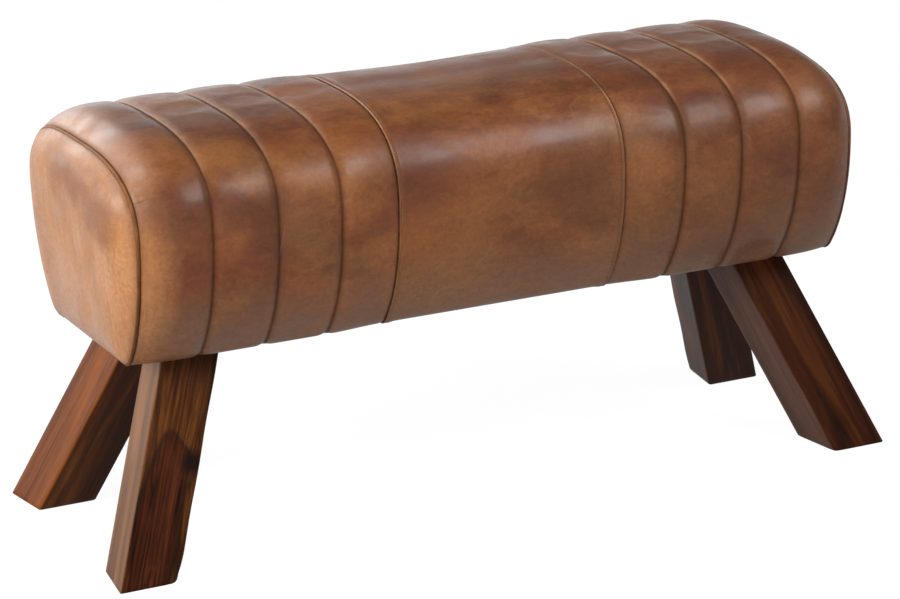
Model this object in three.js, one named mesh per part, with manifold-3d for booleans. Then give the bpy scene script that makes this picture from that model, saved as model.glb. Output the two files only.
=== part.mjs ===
// A leather-covered bench in the shape of a gymnast's pommel horse: a timber box on four splayed
// legs, padded with foam and covered in sewn leather. Millimetres, +Z up, the length along X.
// The origin is on the floor, at the middle of the footprint.

import * as THREE from "three";
import { mergeVertices } from "three/addons/utils/BufferGeometryUtils.js";
import Module from "manifold-3d";

const wasm = await Module();
wasm.setup();

// ---------------------------------------------------------------- driving dimensions

// Cover: a plain centre panel, then sewn channels that widen towards each end, then an end cap.
const CENTRE_PANEL_HALF = 141;
const CHANNEL_COUNT = 4;
const FIRST_CHANNEL_WIDTH = 72.5;
const CHANNEL_WIDENING = 2; // each channel is this much wider than the one before it
const CHANNEL_SWELL = 5; // how far the padding lifts the middle of a channel on its flanks
const CREST_SWELL_SHARE = 0.55; // the crest swells less than the flanks
const CAP_BULGE = 21; // how far the top of an end cap stands out beyond its own seam
const CAP_FOOT_BULGE = 11; // and how far its foot does
const CAP_EDGE_POWER = 8; // how tightly an end cap turns out from its seam

// Cross-sections: half width, height of the widest line, height of the crest, and the superellipse
// power of the back shoulder, which is squarer at the ends.
const MIDDLE_SECTION = { halfWidth: 164, widest: 380, top: 479.5, backPower: 2.7 };
const PANEL_EDGE_SECTION = { halfWidth: 164, widest: 380, top: 482, backPower: 2.7 };
const CHANNEL_SECTION = { halfWidth: 175, widest: 387, top: 482.5, backPower: 2.7 };
const END_SECTION = { halfWidth: 155.5, widest: 374, top: 457.5, backPower: 3.6 };
const FLANK_ROOT = 184; // height where the two lower flanks would close, were they not cut flat
const FRONT_POWER = 2.7; // superellipse power of the front shoulder
const LOWER_POWER = 2.15; // superellipse power of both flanks below the widest line
const ROLL_POWER = 3.2; // how late the last channel rolls down to the end seam
const BODY_BOTTOM = 234;
const BOTTOM_CORNER = 8; // height of the rounded corner where the cover turns under
const SWELL_AXIS = 340; // height of the line that the channels swell away from

// Materials and joints.
const LEATHER = 1.5;
const GAP = 0.3; // clearance between touching pieces
const FOAM_INSET = LEATHER + 2; // foam surface below the outside of the leather
const CAP_FOAM_INSET = 5;
const TURN_UNDER_EDGE = 89; // |y| of the cut edge of the leather, under the body
const CAP_TURN_UNDER_GAP = 7; // from the timber end board to the cut edge of an end cap
const WELT_RADIUS = 1.8;
const WELT_SIDES = 6;
const DUST_COVER = 1;
const DUST_COVER_LAP = 9; // how far it laps over the cut edges of the leather
const LEG_WINDOW = { x: 42, y: 37 }; // half size of the hole in it for each leg

// Timber body frame.
const FRAME_HALF_LENGTH = 418;
const FRAME_HALF_WIDTH = 101;
const FRAME_BOTTOM = BODY_BOTTOM + 2;
const DECK_TOP = 390;
const DECK = 9;
const BOARD = 18; // thickness of the rails, end boards and cross rails
const LEG_PLANK = 30;
const LEG_PLANK_INNER = 300; // |x| of the plank edge nearest the middle
const CROSS_RAIL_X = 290;

// Legs: square posts that lean both ways, cut level at the foot and at the top.
const LEG_SIDE = 65;
const LEG_EDGE_ROUND = 3;
const FOOT_X = 450;
const FOOT_Y = 139.2;
const LEAN_ALONG = THREE.MathUtils.degToRad(22.3);
const LEAN_ACROSS = THREE.MathUtils.degToRad(20.9);
const LEG_TOP = FRAME_BOTTOM - GAP;

// Fasteners: M8 coach screws, driven down through a leg plank into the top of a leg.
const SCREW_RADIUS = 4;
const SCREW_LENGTH = 70;
const SCREW_HEAD_ACROSS_FLATS = 13;
const SCREW_HEAD_HEIGHT = 5.3;
const SCREW_POINT = 6;
const WASHER_RADIUS = 8.5;
const WASHER = 1.6;
const SCREW_OFFSET = 8; // screws stand this far outside the middle of the leg's top
const SCREW_SPREAD = 12; // and this far to each side of that, along the body

// Fineness of the faceted surfaces.
const CHANNEL_SEGMENTS = 3;
const CENTRE_SEGMENTS = 4;
const FLANK_STEPS = 4;
const SHOULDER_STEPS = 7;
const CORNER_STEPS = 3;
const CAP_RINGS = [1, 0.96, 0.9, 0.8, 0.5];
const ROUND_SEGMENTS = 12;

// ---------------------------------------------------------------- materials

const leather = () => new THREE.MeshStandardMaterial({ color: 0x8a5329, roughness: 0.42, metalness: 0 });
const weltLeather = () => new THREE.MeshStandardMaterial({ color: 0x54301a, roughness: 0.5, metalness: 0 });
const foam = () => new THREE.MeshStandardMaterial({ color: 0xe6dcae, roughness: 0.95, metalness: 0 });
const pine = () => new THREE.MeshStandardMaterial({ color: 0xc9a36c, roughness: 0.8, metalness: 0 });
const plywood = () => new THREE.MeshStandardMaterial({ color: 0xbf9865, roughness: 0.75, metalness: 0 });
const sheesham = () => new THREE.MeshStandardMaterial({ color: 0x5d2f19, roughness: 0.4, metalness: 0 });
const zincSteel = () => new THREE.MeshStandardMaterial({ color: 0xb4b6ba, roughness: 0.35, metalness: 1 });
const blackCloth = () => new THREE.MeshStandardMaterial({ color: 0x1c1b1a, roughness: 0.95, metalness: 0 });

// ---------------------------------------------------------------- solids

// A closed geometry as a manifold solid, and back.
function toSolid(geometry) {
  const bare = geometry.index ? geometry.toNonIndexed() : geometry.clone();
  bare.deleteAttribute("normal");
  bare.deleteAttribute("uv");
  const merged = mergeVertices(bare, 1e-4);
  return new wasm.Manifold(
    new wasm.Mesh({
      numProp: 3,
      vertProperties: new Float32Array(merged.attributes.position.array),
      triVerts: new Uint32Array(merged.index.array),
    }),
  );
}

function toGeometry(solid) {
  const mesh = solid.getMesh();
  const geometry = new THREE.BufferGeometry();
  geometry.setAttribute("position", new THREE.BufferAttribute(mesh.vertProperties, 3));
  geometry.setIndex(new THREE.BufferAttribute(mesh.triVerts, 1));
  geometry.computeVertexNormals();
  return geometry;
}

// A box between two corners.
function block(low, high) {
  const size = high.map((value, axis) => value - low[axis]);
  const middle = high.map((value, axis) => (value + low[axis]) / 2);
  return new THREE.BoxGeometry(...size).translate(...middle);
}

// An upright cylinder between two heights.
function post(radius, low, high, x = 0, y = 0) {
  return new THREE.CylinderGeometry(radius, radius, high - low, ROUND_SEGMENTS)
    .rotateX(Math.PI / 2)
    .translate(x, y, (low + high) / 2);
}

// Six times the signed volume of the tetrahedra from the origin to each triangle.
function signedVolume(points, triangles) {
  let sum = 0;
  for (const [a, b, c] of triangles) {
    sum += points[a].dot(new THREE.Vector3().crossVectors(points[b], points[c]));
  }
  return sum;
}

// Triangles that close a flat loop, seen along X, wound the same way as the loop.
function lid(loop) {
  const outline = loop.map((point) => new THREE.Vector2(point.y, point.z));
  const triangles = THREE.ShapeUtils.triangulateShape(outline, []);
  const [a, b, c] = triangles[0].map((i) => outline[i]);
  const sameWay = b.clone().sub(a).cross(c.clone().sub(a)) > 0 === THREE.ShapeUtils.area(outline) > 0;
  return sameWay ? triangles : triangles.map((triangle) => triangle.reverse());
}

// Side strips through a row of loops that all have the same number of points.
function strips(loops) {
  const count = loops[0].length;
  const triangles = [];
  for (let ring = 0; ring + 1 < loops.length; ring++) {
    for (let i = 0; i < count; i++) {
      const a = ring * count + i;
      const b = ring * count + ((i + 1) % count);
      triangles.push([a, b, b + count], [a, b + count, a + count]);
    }
  }
  return triangles;
}

// A closed solid from its points and triangles, turned so that its faces point outwards.
function closedGeometry(points, triangles) {
  if (signedVolume(points, triangles) < 0) {
    triangles.forEach((triangle) => triangle.reverse());
  }
  const geometry = new THREE.BufferGeometry().setFromPoints(points);
  geometry.setIndex(triangles.flat());
  geometry.computeVertexNormals();
  return geometry;
}

// A closed solid through a row of loops whose first and last loops are flat, seen along X.
function loft(loops) {
  const last = (loops.length - 1) * loops[0].length;
  const triangles = strips(loops);
  triangles.push(...lid(loops[0]).map((triangle) => triangle.reverse()));
  triangles.push(...lid(loops.at(-1)).map((triangle) => triangle.map((i) => last + i)));
  return closedGeometry(loops.flat(), triangles);
}

// A closed solid through a row of convex rings that may face any way.
function ringTube(rings) {
  const count = rings[0].length;
  const last = (rings.length - 1) * count;
  const triangles = strips(rings);
  for (let i = 1; i + 1 < count; i++) {
    triangles.push([0, i + 1, i], [last, last + i, last + i + 1]);
  }
  return closedGeometry(rings.flat(), triangles);
}

// ---------------------------------------------------------------- the shape of the body

// |x| of seam k: 0 is the edge of the centre panel, CHANNEL_COUNT is the end seam.
function seamX(k) {
  return CENTRE_PANEL_HALF + k * FIRST_CHANNEL_WIDTH + (CHANNEL_WIDENING * k * (k - 1)) / 2;
}

function mixSections(a, b, share) {
  const mixed = {};
  for (const key of Object.keys(a)) {
    mixed[key] = THREE.MathUtils.lerp(a[key], b[key], share);
  }
  return mixed;
}

// How far x has gone between two distances from the middle, eased at both ends.
function eased(x, low, high) {
  return THREE.MathUtils.smoothstep(Math.abs(x), low, high);
}

// The section at a distance x from the middle, through the seams, before the channels swell.
function sectionAt(x) {
  if (Math.abs(x) < seamX(0)) {
    return mixSections(MIDDLE_SECTION, PANEL_EDGE_SECTION, eased(x, 0, seamX(0)));
  }
  if (Math.abs(x) < seamX(CHANNEL_COUNT - 1)) {
    return mixSections(PANEL_EDGE_SECTION, CHANNEL_SECTION, eased(x, seamX(0), seamX(1)));
  }
  const start = seamX(CHANNEL_COUNT - 1);
  const t = Math.min(1, (Math.abs(x) - start) / (seamX(CHANNEL_COUNT) - start));
  return mixSections(CHANNEL_SECTION, END_SECTION, t ** ROLL_POWER);
}

function swellAt(x) {
  const along = Math.abs(x);
  for (let k = 0; k < CHANNEL_COUNT; k++) {
    if (along >= seamX(k) && along <= seamX(k + 1)) {
      const t = (along - seamX(k)) / (seamX(k + 1) - seamX(k));
      return CHANNEL_SWELL * (4 * t * (1 - t)) ** 0.8;
    }
  }
  return 0;
}

// Half width of the flank of a section at a height, or of its shoulder close above the widest line.
function widthAtHeight(section, inset, height) {
  const upper = height > section.widest;
  const reach = upper ? section.top - inset - section.widest : section.widest - FLANK_ROOT - inset;
  const power = upper ? FRONT_POWER : LOWER_POWER;
  const share = Math.min(1, Math.abs(height - section.widest) / reach);
  return (section.halfWidth - inset) * (1 - share ** power) ** (1 / power);
}

// Points [y, z] of half a section, y positive, listed upwards in three stretches.
function cornerPoints(section, inset) {
  const bottom = BODY_BOTTOM + inset;
  const top = bottom + BOTTOM_CORNER;
  const outer = widthAtHeight(section, inset, top);
  const curve = new THREE.QuadraticBezierCurve(
    new THREE.Vector2(outer - 2 * BOTTOM_CORNER, bottom),
    new THREE.Vector2(widthAtHeight(section, inset, bottom), bottom),
    new THREE.Vector2(outer, top),
  );
  return curve.getPoints(CORNER_STEPS).map((point) => point.toArray());
}

function flankPoints(section, inset) {
  const low = BODY_BOTTOM + inset + BOTTOM_CORNER;
  const points = [];
  for (let i = 1; i <= FLANK_STEPS; i++) {
    const height = THREE.MathUtils.lerp(low, section.widest, i / FLANK_STEPS);
    points.push([widthAtHeight(section, inset, height), height]);
  }
  return points;
}

function shoulderPoints(section, inset, power) {
  const points = [];
  for (let i = 1; i <= SHOULDER_STEPS; i++) {
    const angle = (i / SHOULDER_STEPS) * (Math.PI / 2);
    const cos = Math.max(0, Math.cos(angle));
    const sin = Math.sin(angle);
    const radius = (cos ** power + sin ** power) ** (-1 / power);
    const y = (section.halfWidth - inset) * radius * cos;
    points.push([y, section.widest + (section.top - inset - section.widest) * radius * sin]);
  }
  return points;
}

// Lifts a point away from the swell axis; the turned-under edge stays flat.
function swollen([y, z], swell) {
  const fade = THREE.MathUtils.smoothstep(z, BODY_BOTTOM + BOTTOM_CORNER, BODY_BOTTOM + 10 * BOTTOM_CORNER);
  const flankShare = Math.min(1, y / MIDDLE_SECTION.halfWidth);
  const lift = swell * fade * THREE.MathUtils.lerp(CREST_SWELL_SHARE, 1, flankShare);
  const length = Math.hypot(y, z - SWELL_AXIS);
  return [y + (lift * y) / length, z + (lift * (z - SWELL_AXIS)) / length];
}

// A whole path at x, from the front edge over the crest to the back edge, from a function that
// gives half a section for a shoulder power. The two halves share the crest point.
function bothSides(x, section, halfFor) {
  const front = halfFor(FRONT_POWER).map(([y, z]) => new THREE.Vector3(x, -y, z));
  const back = halfFor(section.backPower).map(([y, z]) => new THREE.Vector3(x, y, z));
  return [...front, ...back.slice(0, -1).reverse()];
}

function coverPath(x, section, inset, swell) {
  return bothSides(x, section, (power) => {
    const upright = [
      ...cornerPoints(section, inset),
      ...flankPoints(section, inset),
      ...shoulderPoints(section, inset, power),
    ];
    return [[TURN_UNDER_EDGE, BODY_BOTTOM + inset], ...upright.map((point) => swollen(point, swell))];
  });
}

// Where the surface grids are sampled along one side of the body.
function stationsBetween(low, high, segments) {
  return Array.from({ length: segments + 1 }, (_, i) => THREE.MathUtils.lerp(low, high, i / segments));
}

function foamStations() {
  const side = [];
  for (let k = 0; k < CHANNEL_COUNT; k++) {
    side.push(...stationsBetween(seamX(k), seamX(k + 1), CHANNEL_SEGMENTS).slice(0, -1));
  }
  const right = side.filter((x) => x < FRAME_HALF_LENGTH - 1);
  right.push(FRAME_HALF_LENGTH);
  const middle = stationsBetween(-seamX(0), seamX(0), CENTRE_SEGMENTS).slice(1, -1);
  return [...right.map((x) => -x).reverse(), ...middle, ...right];
}

// ---------------------------------------------------------------- leather cover

// A strip of leather over the body from x = low to x = high, turned under along both edges.
function coverPanel(low, high, segments) {
  const loops = stationsBetween(low, high, segments).map((x) => {
    const section = sectionAt(x);
    const swell = swellAt(x);
    const outside = coverPath(x, section, 0, swell);
    const inside = coverPath(x, section, LEATHER, swell);
    return [...outside, ...inside.reverse()];
  });
  return loft(loops);
}

function centrePanel() {
  return coverPanel(-seamX(0) + GAP, seamX(0) - GAP, CENTRE_SEGMENTS);
}

function channel(side, k) {
  const seamRoom = k === CHANNEL_COUNT - 1 ? WELT_RADIUS + GAP : GAP;
  return coverPanel(side * (seamX(k) + GAP), side * (seamX(k + 1) - seamRoom), CHANNEL_SEGMENTS);
}

// Ring of an end cap at a share of its outline; the surface rises quickly just inside the rim.
// The foot of the outline is either the cover's rounded corner or a flat cut at a given height.
function capRing(side, rimX, share, inset, cut) {
  const section = END_SECTION;
  const foot = cut ? [[widthAtHeight(section, inset, cut), cut]] : cornerPoints(section, inset);
  const low = foot[0][1];
  const middle = (low + section.top) / 2;
  const bulgeAt = (height) => THREE.MathUtils.mapLinear(height, low, section.top, CAP_FOOT_BULGE, CAP_BULGE);
  const rise = (height) => bulgeAt(height) * (1 - share ** CAP_EDGE_POWER);
  const outline = bothSides(0, section, (power) => [
    ...foot,
    ...flankPoints(section, inset),
    ...shoulderPoints(section, inset, power),
  ]);
  return outline.map(
    ({ y, z }) => new THREE.Vector3(side * (rimX + rise(z)), y * share, middle + (z - middle) * share),
  );
}

function endCap(side) {
  const rimX = seamX(CHANNEL_COUNT) + WELT_RADIUS + GAP;
  const outside = CAP_RINGS.map((share) => capRing(side, rimX, share, 0));
  const [rim, ...dome] = CAP_RINGS;
  const inside = [
    capRing(side, rimX, rim, LEATHER),
    ...dome.map((share) => capRing(side, rimX - LEATHER, share, LEATHER)),
  ];
  const shell = toSolid(loft([...inside.reverse(), ...outside]));
  const edgeX = [FRAME_HALF_LENGTH + CAP_TURN_UNDER_GAP, rimX + GAP].map((x) => side * x);
  const halfWidth = TURN_UNDER_EDGE - 1;
  const turnUnder = block(
    [Math.min(...edgeX), -halfWidth, BODY_BOTTOM],
    [Math.max(...edgeX), halfWidth, BODY_BOTTOM + LEATHER],
  );
  return toGeometry(shell.add(toSolid(turnUnder)));
}

// A round piping cord in the end seam, following the section of the body at that seam.
function welt(side) {
  const x = side * seamX(CHANNEL_COUNT);
  const path = coverPath(x, END_SECTION, GAP, 0);
  const rings = path.map((point, i) => {
    const before = path[Math.max(0, i - 1)];
    const after = path[Math.min(path.length - 1, i + 1)];
    const along = new THREE.Vector3().subVectors(after, before).normalize();
    const outward = new THREE.Vector3(0, -along.z, along.y);
    return Array.from({ length: WELT_SIDES }, (_, j) => {
      const angle = (2 * Math.PI * j) / WELT_SIDES;
      return point
        .clone()
        .addScaledVector(outward, WELT_RADIUS * Math.cos(angle))
        .add(new THREE.Vector3(WELT_RADIUS * Math.sin(angle), 0, 0));
    });
  });
  return ringTube(rings);
}

// Thin black cloth that closes the underside, with a window for each leg.
function dustCover() {
  const top = BODY_BOTTOM - GAP;
  const low = top - DUST_COVER;
  const halfLength = FRAME_HALF_LENGTH + DUST_COVER_LAP;
  const halfWidth = TURN_UNDER_EDGE + DUST_COVER_LAP;
  let sheet = toSolid(block([-halfLength, -halfWidth, low], [halfLength, halfWidth, top]));
  for (const [sideX, sideY] of corners()) {
    const centre = legCentre(sideX, sideY, BODY_BOTTOM);
    const window = block(
      [centre.x - LEG_WINDOW.x, centre.y - LEG_WINDOW.y, low - 1],
      [centre.x + LEG_WINDOW.x, centre.y + LEG_WINDOW.y, top + 1],
    );
    sheet = sheet.subtract(toSolid(window));
  }
  return toGeometry(sheet);
}

// ---------------------------------------------------------------- foam padding

function topFoam() {
  const low = DECK_TOP + GAP;
  const loops = foamStations().map((x) => {
    const section = sectionAt(x);
    const edge = [widthAtHeight(section, FOAM_INSET, low), low];
    const swell = swellAt(x);
    return bothSides(x, section, (power) => {
      const shoulder = shoulderPoints(section, FOAM_INSET, power);
      const half = [edge, ...shoulder].map((point) => swollen(point, swell));
      half[0][1] = low;
      return half;
    });
  });
  return loft(loops);
}

// The long pad on one flank, from the bottom corner up to the level of the deck.
function sideFoam(side) {
  const inner = FRAME_HALF_WIDTH + GAP;
  const high = DECK_TOP;
  const loops = foamStations().map((x) => {
    const section = sectionAt(x);
    const swell = swellAt(x);
    const low = BODY_BOTTOM + FOAM_INSET + BOTTOM_CORNER;
    const outside = [
      [widthAtHeight(section, FOAM_INSET, low), low],
      ...flankPoints(section, FOAM_INSET),
      [widthAtHeight(section, FOAM_INSET, high), high],
    ].map((point) => swollen(point, swell));
    outside.at(-1)[1] = high;
    const loop = [[inner, low], ...outside, [inner, high]];
    return loop.map(([y, z]) => new THREE.Vector3(x, side * y, z));
  });
  return loft(loops);
}

function endFoam(side) {
  const low = BODY_BOTTOM + FOAM_INSET + BOTTOM_CORNER;
  const start = FRAME_HALF_LENGTH + GAP;
  const rimX = seamX(CHANNEL_COUNT);
  const back = capRing(side, start, 1, CAP_FOAM_INSET, low);
  const rings = CAP_RINGS.map((share) => capRing(side, rimX - GAP, share, CAP_FOAM_INSET, low));
  return loft([back, ...rings]);
}

// ---------------------------------------------------------------- timber frame

const RAIL_TOP = DECK_TOP - DECK - GAP;
const INSIDE_WIDTH = FRAME_HALF_WIDTH - BOARD - GAP;

function sideRail(side) {
  const faces = [FRAME_HALF_WIDTH - BOARD, FRAME_HALF_WIDTH].map((y) => side * y);
  const length = FRAME_HALF_LENGTH - BOARD - GAP;
  return block([-length, Math.min(...faces), FRAME_BOTTOM], [length, Math.max(...faces), RAIL_TOP]);
}

function endBoard(side) {
  const faces = [FRAME_HALF_LENGTH - BOARD, FRAME_HALF_LENGTH].map((x) => side * x);
  return block(
    [Math.min(...faces), -FRAME_HALF_WIDTH, FRAME_BOTTOM],
    [Math.max(...faces), FRAME_HALF_WIDTH, RAIL_TOP],
  );
}

function crossRail(x) {
  return block([x - BOARD / 2, -INSIDE_WIDTH, FRAME_BOTTOM], [x + BOARD / 2, INSIDE_WIDTH, RAIL_TOP]);
}

function deckBoard() {
  return block(
    [-FRAME_HALF_LENGTH, -FRAME_HALF_WIDTH, DECK_TOP - DECK],
    [FRAME_HALF_LENGTH, FRAME_HALF_WIDTH, DECK_TOP],
  );
}

// The thick plank that two legs are screwed to, drilled for its four screws.
function legPlank(side) {
  const faces = [LEG_PLANK_INNER, FRAME_HALF_LENGTH - BOARD - GAP].map((x) => side * x);
  const top = FRAME_BOTTOM + LEG_PLANK;
  let plank = toSolid(
    block([Math.min(...faces), -INSIDE_WIDTH, FRAME_BOTTOM], [Math.max(...faces), INSIDE_WIDTH, top]),
  );
  for (const sideY of [-1, 1]) {
    for (const { x, y } of screwPlaces(side, sideY)) {
      plank = plank.subtract(toSolid(post(SCREW_RADIUS + GAP, FRAME_BOTTOM - 1, top + 1, x, y)));
    }
  }
  return toGeometry(plank);
}

// ---------------------------------------------------------------- legs and their screws

function corners() {
  return [[-1, -1], [-1, 1], [1, -1], [1, 1]];
}

// Middle of a leg's level section at a height.
function legCentre(sideX, sideY, height) {
  return new THREE.Vector3(
    sideX * (FOOT_X - height * Math.tan(LEAN_ALONG)),
    sideY * (FOOT_Y - height * Math.tan(LEAN_ACROSS)),
    height,
  );
}

function screwPlaces(sideX, sideY) {
  const centre = legCentre(sideX, sideY, LEG_TOP);
  const y = centre.y + sideY * SCREW_OFFSET;
  return [-1, 1].map((step) => ({ x: centre.x + sideX * SCREW_OFFSET + step * SCREW_SPREAD, y }));
}

function roundedSquare(size, radius) {
  const half = size / 2;
  const shape = new THREE.Shape();
  shape.moveTo(half - radius, -half);
  shape.absarc(half - radius, -half + radius, radius, -Math.PI / 2, 0);
  shape.absarc(half - radius, half - radius, radius, 0, Math.PI / 2);
  shape.absarc(-half + radius, half - radius, radius, Math.PI / 2, Math.PI);
  shape.absarc(-half + radius, -half + radius, radius, Math.PI, 1.5 * Math.PI);
  return shape;
}

// One leg in its own frame: the middle of its foot at the origin.
function leg(sideX, sideY) {
  const length = 3 * LEG_TOP; // long enough to be cut level at both ends
  const axis = legCentre(sideX, sideY, LEG_TOP).sub(legCentre(sideX, sideY, 0)).normalize();
  const across = new THREE.Vector3(0, axis.z, -axis.y).normalize();
  const along = new THREE.Vector3().crossVectors(across, axis);
  const beam = new THREE.ExtrudeGeometry(roundedSquare(LEG_SIDE, LEG_EDGE_ROUND), {
    depth: length,
    bevelEnabled: false,
    curveSegments: 2,
  });
  beam.translate(0, 0, -length / 3);
  beam.applyMatrix4(new THREE.Matrix4().makeBasis(along, across, axis));
  const level = toSolid(block([-length, -length, 0], [length, length, LEG_TOP]));
  let solid = toSolid(beam).intersect(level);
  for (const { x, y } of screwPlaces(sideX, sideY)) {
    const bottom = LEG_TOP + LEG_PLANK - SCREW_LENGTH - 2;
    const hole = post(SCREW_RADIUS + GAP, bottom, LEG_TOP + 1, x - sideX * FOOT_X, y - sideY * FOOT_Y);
    solid = solid.subtract(toSolid(hole));
  }
  return toGeometry(solid);
}

// A hexagon-headed coach screw, its head's underside at the origin and its point below.
function coachScrew() {
  const headRadius = SCREW_HEAD_ACROSS_FLATS / Math.sqrt(3);
  const head = new THREE.CylinderGeometry(headRadius, headRadius, SCREW_HEAD_HEIGHT, 6)
    .rotateX(Math.PI / 2)
    .translate(0, 0, SCREW_HEAD_HEIGHT / 2);
  const shankLow = -SCREW_LENGTH + SCREW_POINT;
  const profile = [
    new THREE.Vector2(0, -SCREW_LENGTH),
    new THREE.Vector2(SCREW_RADIUS, shankLow),
    new THREE.Vector2(SCREW_RADIUS, 1),
    new THREE.Vector2(0, 1),
  ];
  const shank = new THREE.LatheGeometry(profile, ROUND_SEGMENTS).rotateX(Math.PI / 2);
  return toGeometry(toSolid(head).add(toSolid(shank)));
}

function washer() {
  const hole = SCREW_RADIUS + GAP;
  const profile = [
    new THREE.Vector2(hole, 0),
    new THREE.Vector2(WASHER_RADIUS, 0),
    new THREE.Vector2(WASHER_RADIUS, WASHER),
    new THREE.Vector2(hole, WASHER),
    new THREE.Vector2(hole, 0),
  ];
  return new THREE.LatheGeometry(profile, ROUND_SEGMENTS).rotateX(Math.PI / 2);
}

// ---------------------------------------------------------------- assembly

function named(name, geometry, material) {
  const mesh = new THREE.Mesh(geometry, material);
  mesh.name = name;
  return mesh;
}

function frameGroup() {
  const group = new THREE.Group();
  group.add(
    named("front_rail", sideRail(-1), pine()),
    named("back_rail", sideRail(1), pine()),
    named("left_end_board", endBoard(-1), pine()),
    named("right_end_board", endBoard(1), pine()),
    named("left_cross_rail", crossRail(-CROSS_RAIL_X), pine()),
    named("centre_cross_rail", crossRail(0), pine()),
    named("right_cross_rail", crossRail(CROSS_RAIL_X), pine()),
    named("deck_board", deckBoard(), plywood()),
    named("left_leg_plank", legPlank(-1), pine()),
    named("right_leg_plank", legPlank(1), pine()),
  );
  return group;
}

function foamGroup() {
  const group = new THREE.Group();
  group.add(
    named("top_foam", topFoam(), foam()),
    named("front_foam", sideFoam(-1), foam()),
    named("back_foam", sideFoam(1), foam()),
    named("left_end_foam", endFoam(-1), foam()),
    named("right_end_foam", endFoam(1), foam()),
  );
  return group;
}

function coverGroup() {
  const group = new THREE.Group();
  group.add(named("centre_panel", centrePanel(), leather()));
  for (const [word, side] of [["left", -1], ["right", 1]]) {
    for (let k = 0; k < CHANNEL_COUNT; k++) {
      group.add(named(`${word}_channel_${k + 1}`, channel(side, k), leather()));
    }
    group.add(named(`${word}_end_cap`, endCap(side), leather()));
    group.add(named(`${word}_end_welt`, welt(side), weltLeather()));
  }
  group.add(named("dust_cover", dustCover(), blackCloth()));
  return group;
}

function legGroup(sideX, sideY) {
  const word = `${sideY < 0 ? "front" : "back"}_${sideX < 0 ? "left" : "right"}`;
  const group = new THREE.Group();
  group.position.set(sideX * FOOT_X, sideY * FOOT_Y, 0);
  group.add(named(`${word}_leg`, leg(sideX, sideY), sheesham()));
  const plankTop = FRAME_BOTTOM + LEG_PLANK;
  screwPlaces(sideX, sideY).forEach(({ x, y }, index) => {
    const ring = named(`${word}_washer_${index + 1}`, washer(), zincSteel());
    ring.position.set(x - group.position.x, y - group.position.y, plankTop + GAP);
    const screw = named(`${word}_coach_screw_${index + 1}`, coachScrew(), zincSteel());
    screw.position.set(ring.position.x, ring.position.y, plankTop + WASHER + 2 * GAP);
    group.add(ring, screw);
  });
  return group;
}

const bench = new THREE.Group();
bench.add(frameGroup(), foamGroup(), coverGroup());
for (const [sideX, sideY] of corners()) {
  bench.add(legGroup(sideX, sideY));
}

export default bench;
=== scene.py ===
import math

import bmesh
import bpy
import numpy as np
from mathutils import Matrix, Vector


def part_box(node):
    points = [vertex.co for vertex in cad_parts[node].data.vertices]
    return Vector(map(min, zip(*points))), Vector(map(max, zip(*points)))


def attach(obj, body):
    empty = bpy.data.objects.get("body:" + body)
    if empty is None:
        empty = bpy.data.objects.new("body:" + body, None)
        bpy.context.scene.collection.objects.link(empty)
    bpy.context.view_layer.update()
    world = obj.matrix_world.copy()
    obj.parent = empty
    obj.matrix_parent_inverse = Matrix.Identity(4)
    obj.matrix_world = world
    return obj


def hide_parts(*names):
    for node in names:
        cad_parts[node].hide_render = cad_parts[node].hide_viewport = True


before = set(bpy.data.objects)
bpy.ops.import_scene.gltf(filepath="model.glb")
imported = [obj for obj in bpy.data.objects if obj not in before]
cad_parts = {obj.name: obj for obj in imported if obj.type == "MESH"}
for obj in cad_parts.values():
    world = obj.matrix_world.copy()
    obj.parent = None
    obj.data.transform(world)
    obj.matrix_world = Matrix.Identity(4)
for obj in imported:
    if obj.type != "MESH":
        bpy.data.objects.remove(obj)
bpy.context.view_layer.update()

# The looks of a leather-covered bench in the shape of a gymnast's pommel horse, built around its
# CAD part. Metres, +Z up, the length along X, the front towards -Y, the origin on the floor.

SIDES = (("left", -1), ("right", 1))
CHANNELS = 4

# ---------------- the shape of the body

# Cross-sections: half width, height of the widest line, height of the crest, and the superellipse
# power of the back shoulder. The part's own boxes give the widths and heights where they can.
GAP = 0.0003
SEAMS = [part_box(f"right_channel_{k}")[0].x - GAP for k in range(1, CHANNELS + 1)]
SEAMS.append(sum(corner.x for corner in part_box("right_end_welt")) / 2)
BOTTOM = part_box("centre_panel")[0].z
CENTRE_HALF_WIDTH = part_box("centre_panel")[1].y
MIDDLE_SECTION = np.array([CENTRE_HALF_WIDTH, 0.380, 0.4795, 2.7])
PANEL_EDGE_SECTION = np.array([CENTRE_HALF_WIDTH, 0.380, 0.482, 2.7])
CHANNEL_SECTION = np.array([0.175, 0.387, 0.4797, 2.7])
END_SECTION = np.array([0.1555, 0.374, 0.4575, 3.6])
FLANK_ROOT = 0.184
FRONT_POWER = 2.7
LOWER_POWER = 2.15
ROLL_POWER = 3.2
CORNER = 0.008
SWELL_AXIS = 0.340
CHANNEL_SWELL = 0.005
CREST_SWELL_SHARE = 0.55
TURN_UNDER_EDGE = 0.089
CAP_BULGE = 0.0235
CAP_FOOT_BULGE = 0.012
CAP_EDGE_POWER = 8
WELT_RADIUS = 0.0021
WELT_ROOM = 0.0016
LEATHER = 0.0015
SEAM_GAP = 0.00008

# How many rows of the surface grid lie in each stretch of half a section.
ROWS = {"under": 5, "corner": 8, "flank": 46, "shoulder": 70}
COLUMN_STEP = 0.0038


def smooth(value, low, high):
    """0 below low, 1 above high, eased between them."""
    share = np.clip((value - low) / (high - low), 0.0, 1.0)
    return share * share * (3 - 2 * share)


def bell(value, middle, width):
    """1 at the middle, falling away over about the width."""
    return np.exp(-(((value - middle) / width) ** 2))


def mixed(a, b, share):
    """a where the share is 0, b where it is 1."""
    return a + (b - a) * share


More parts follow.
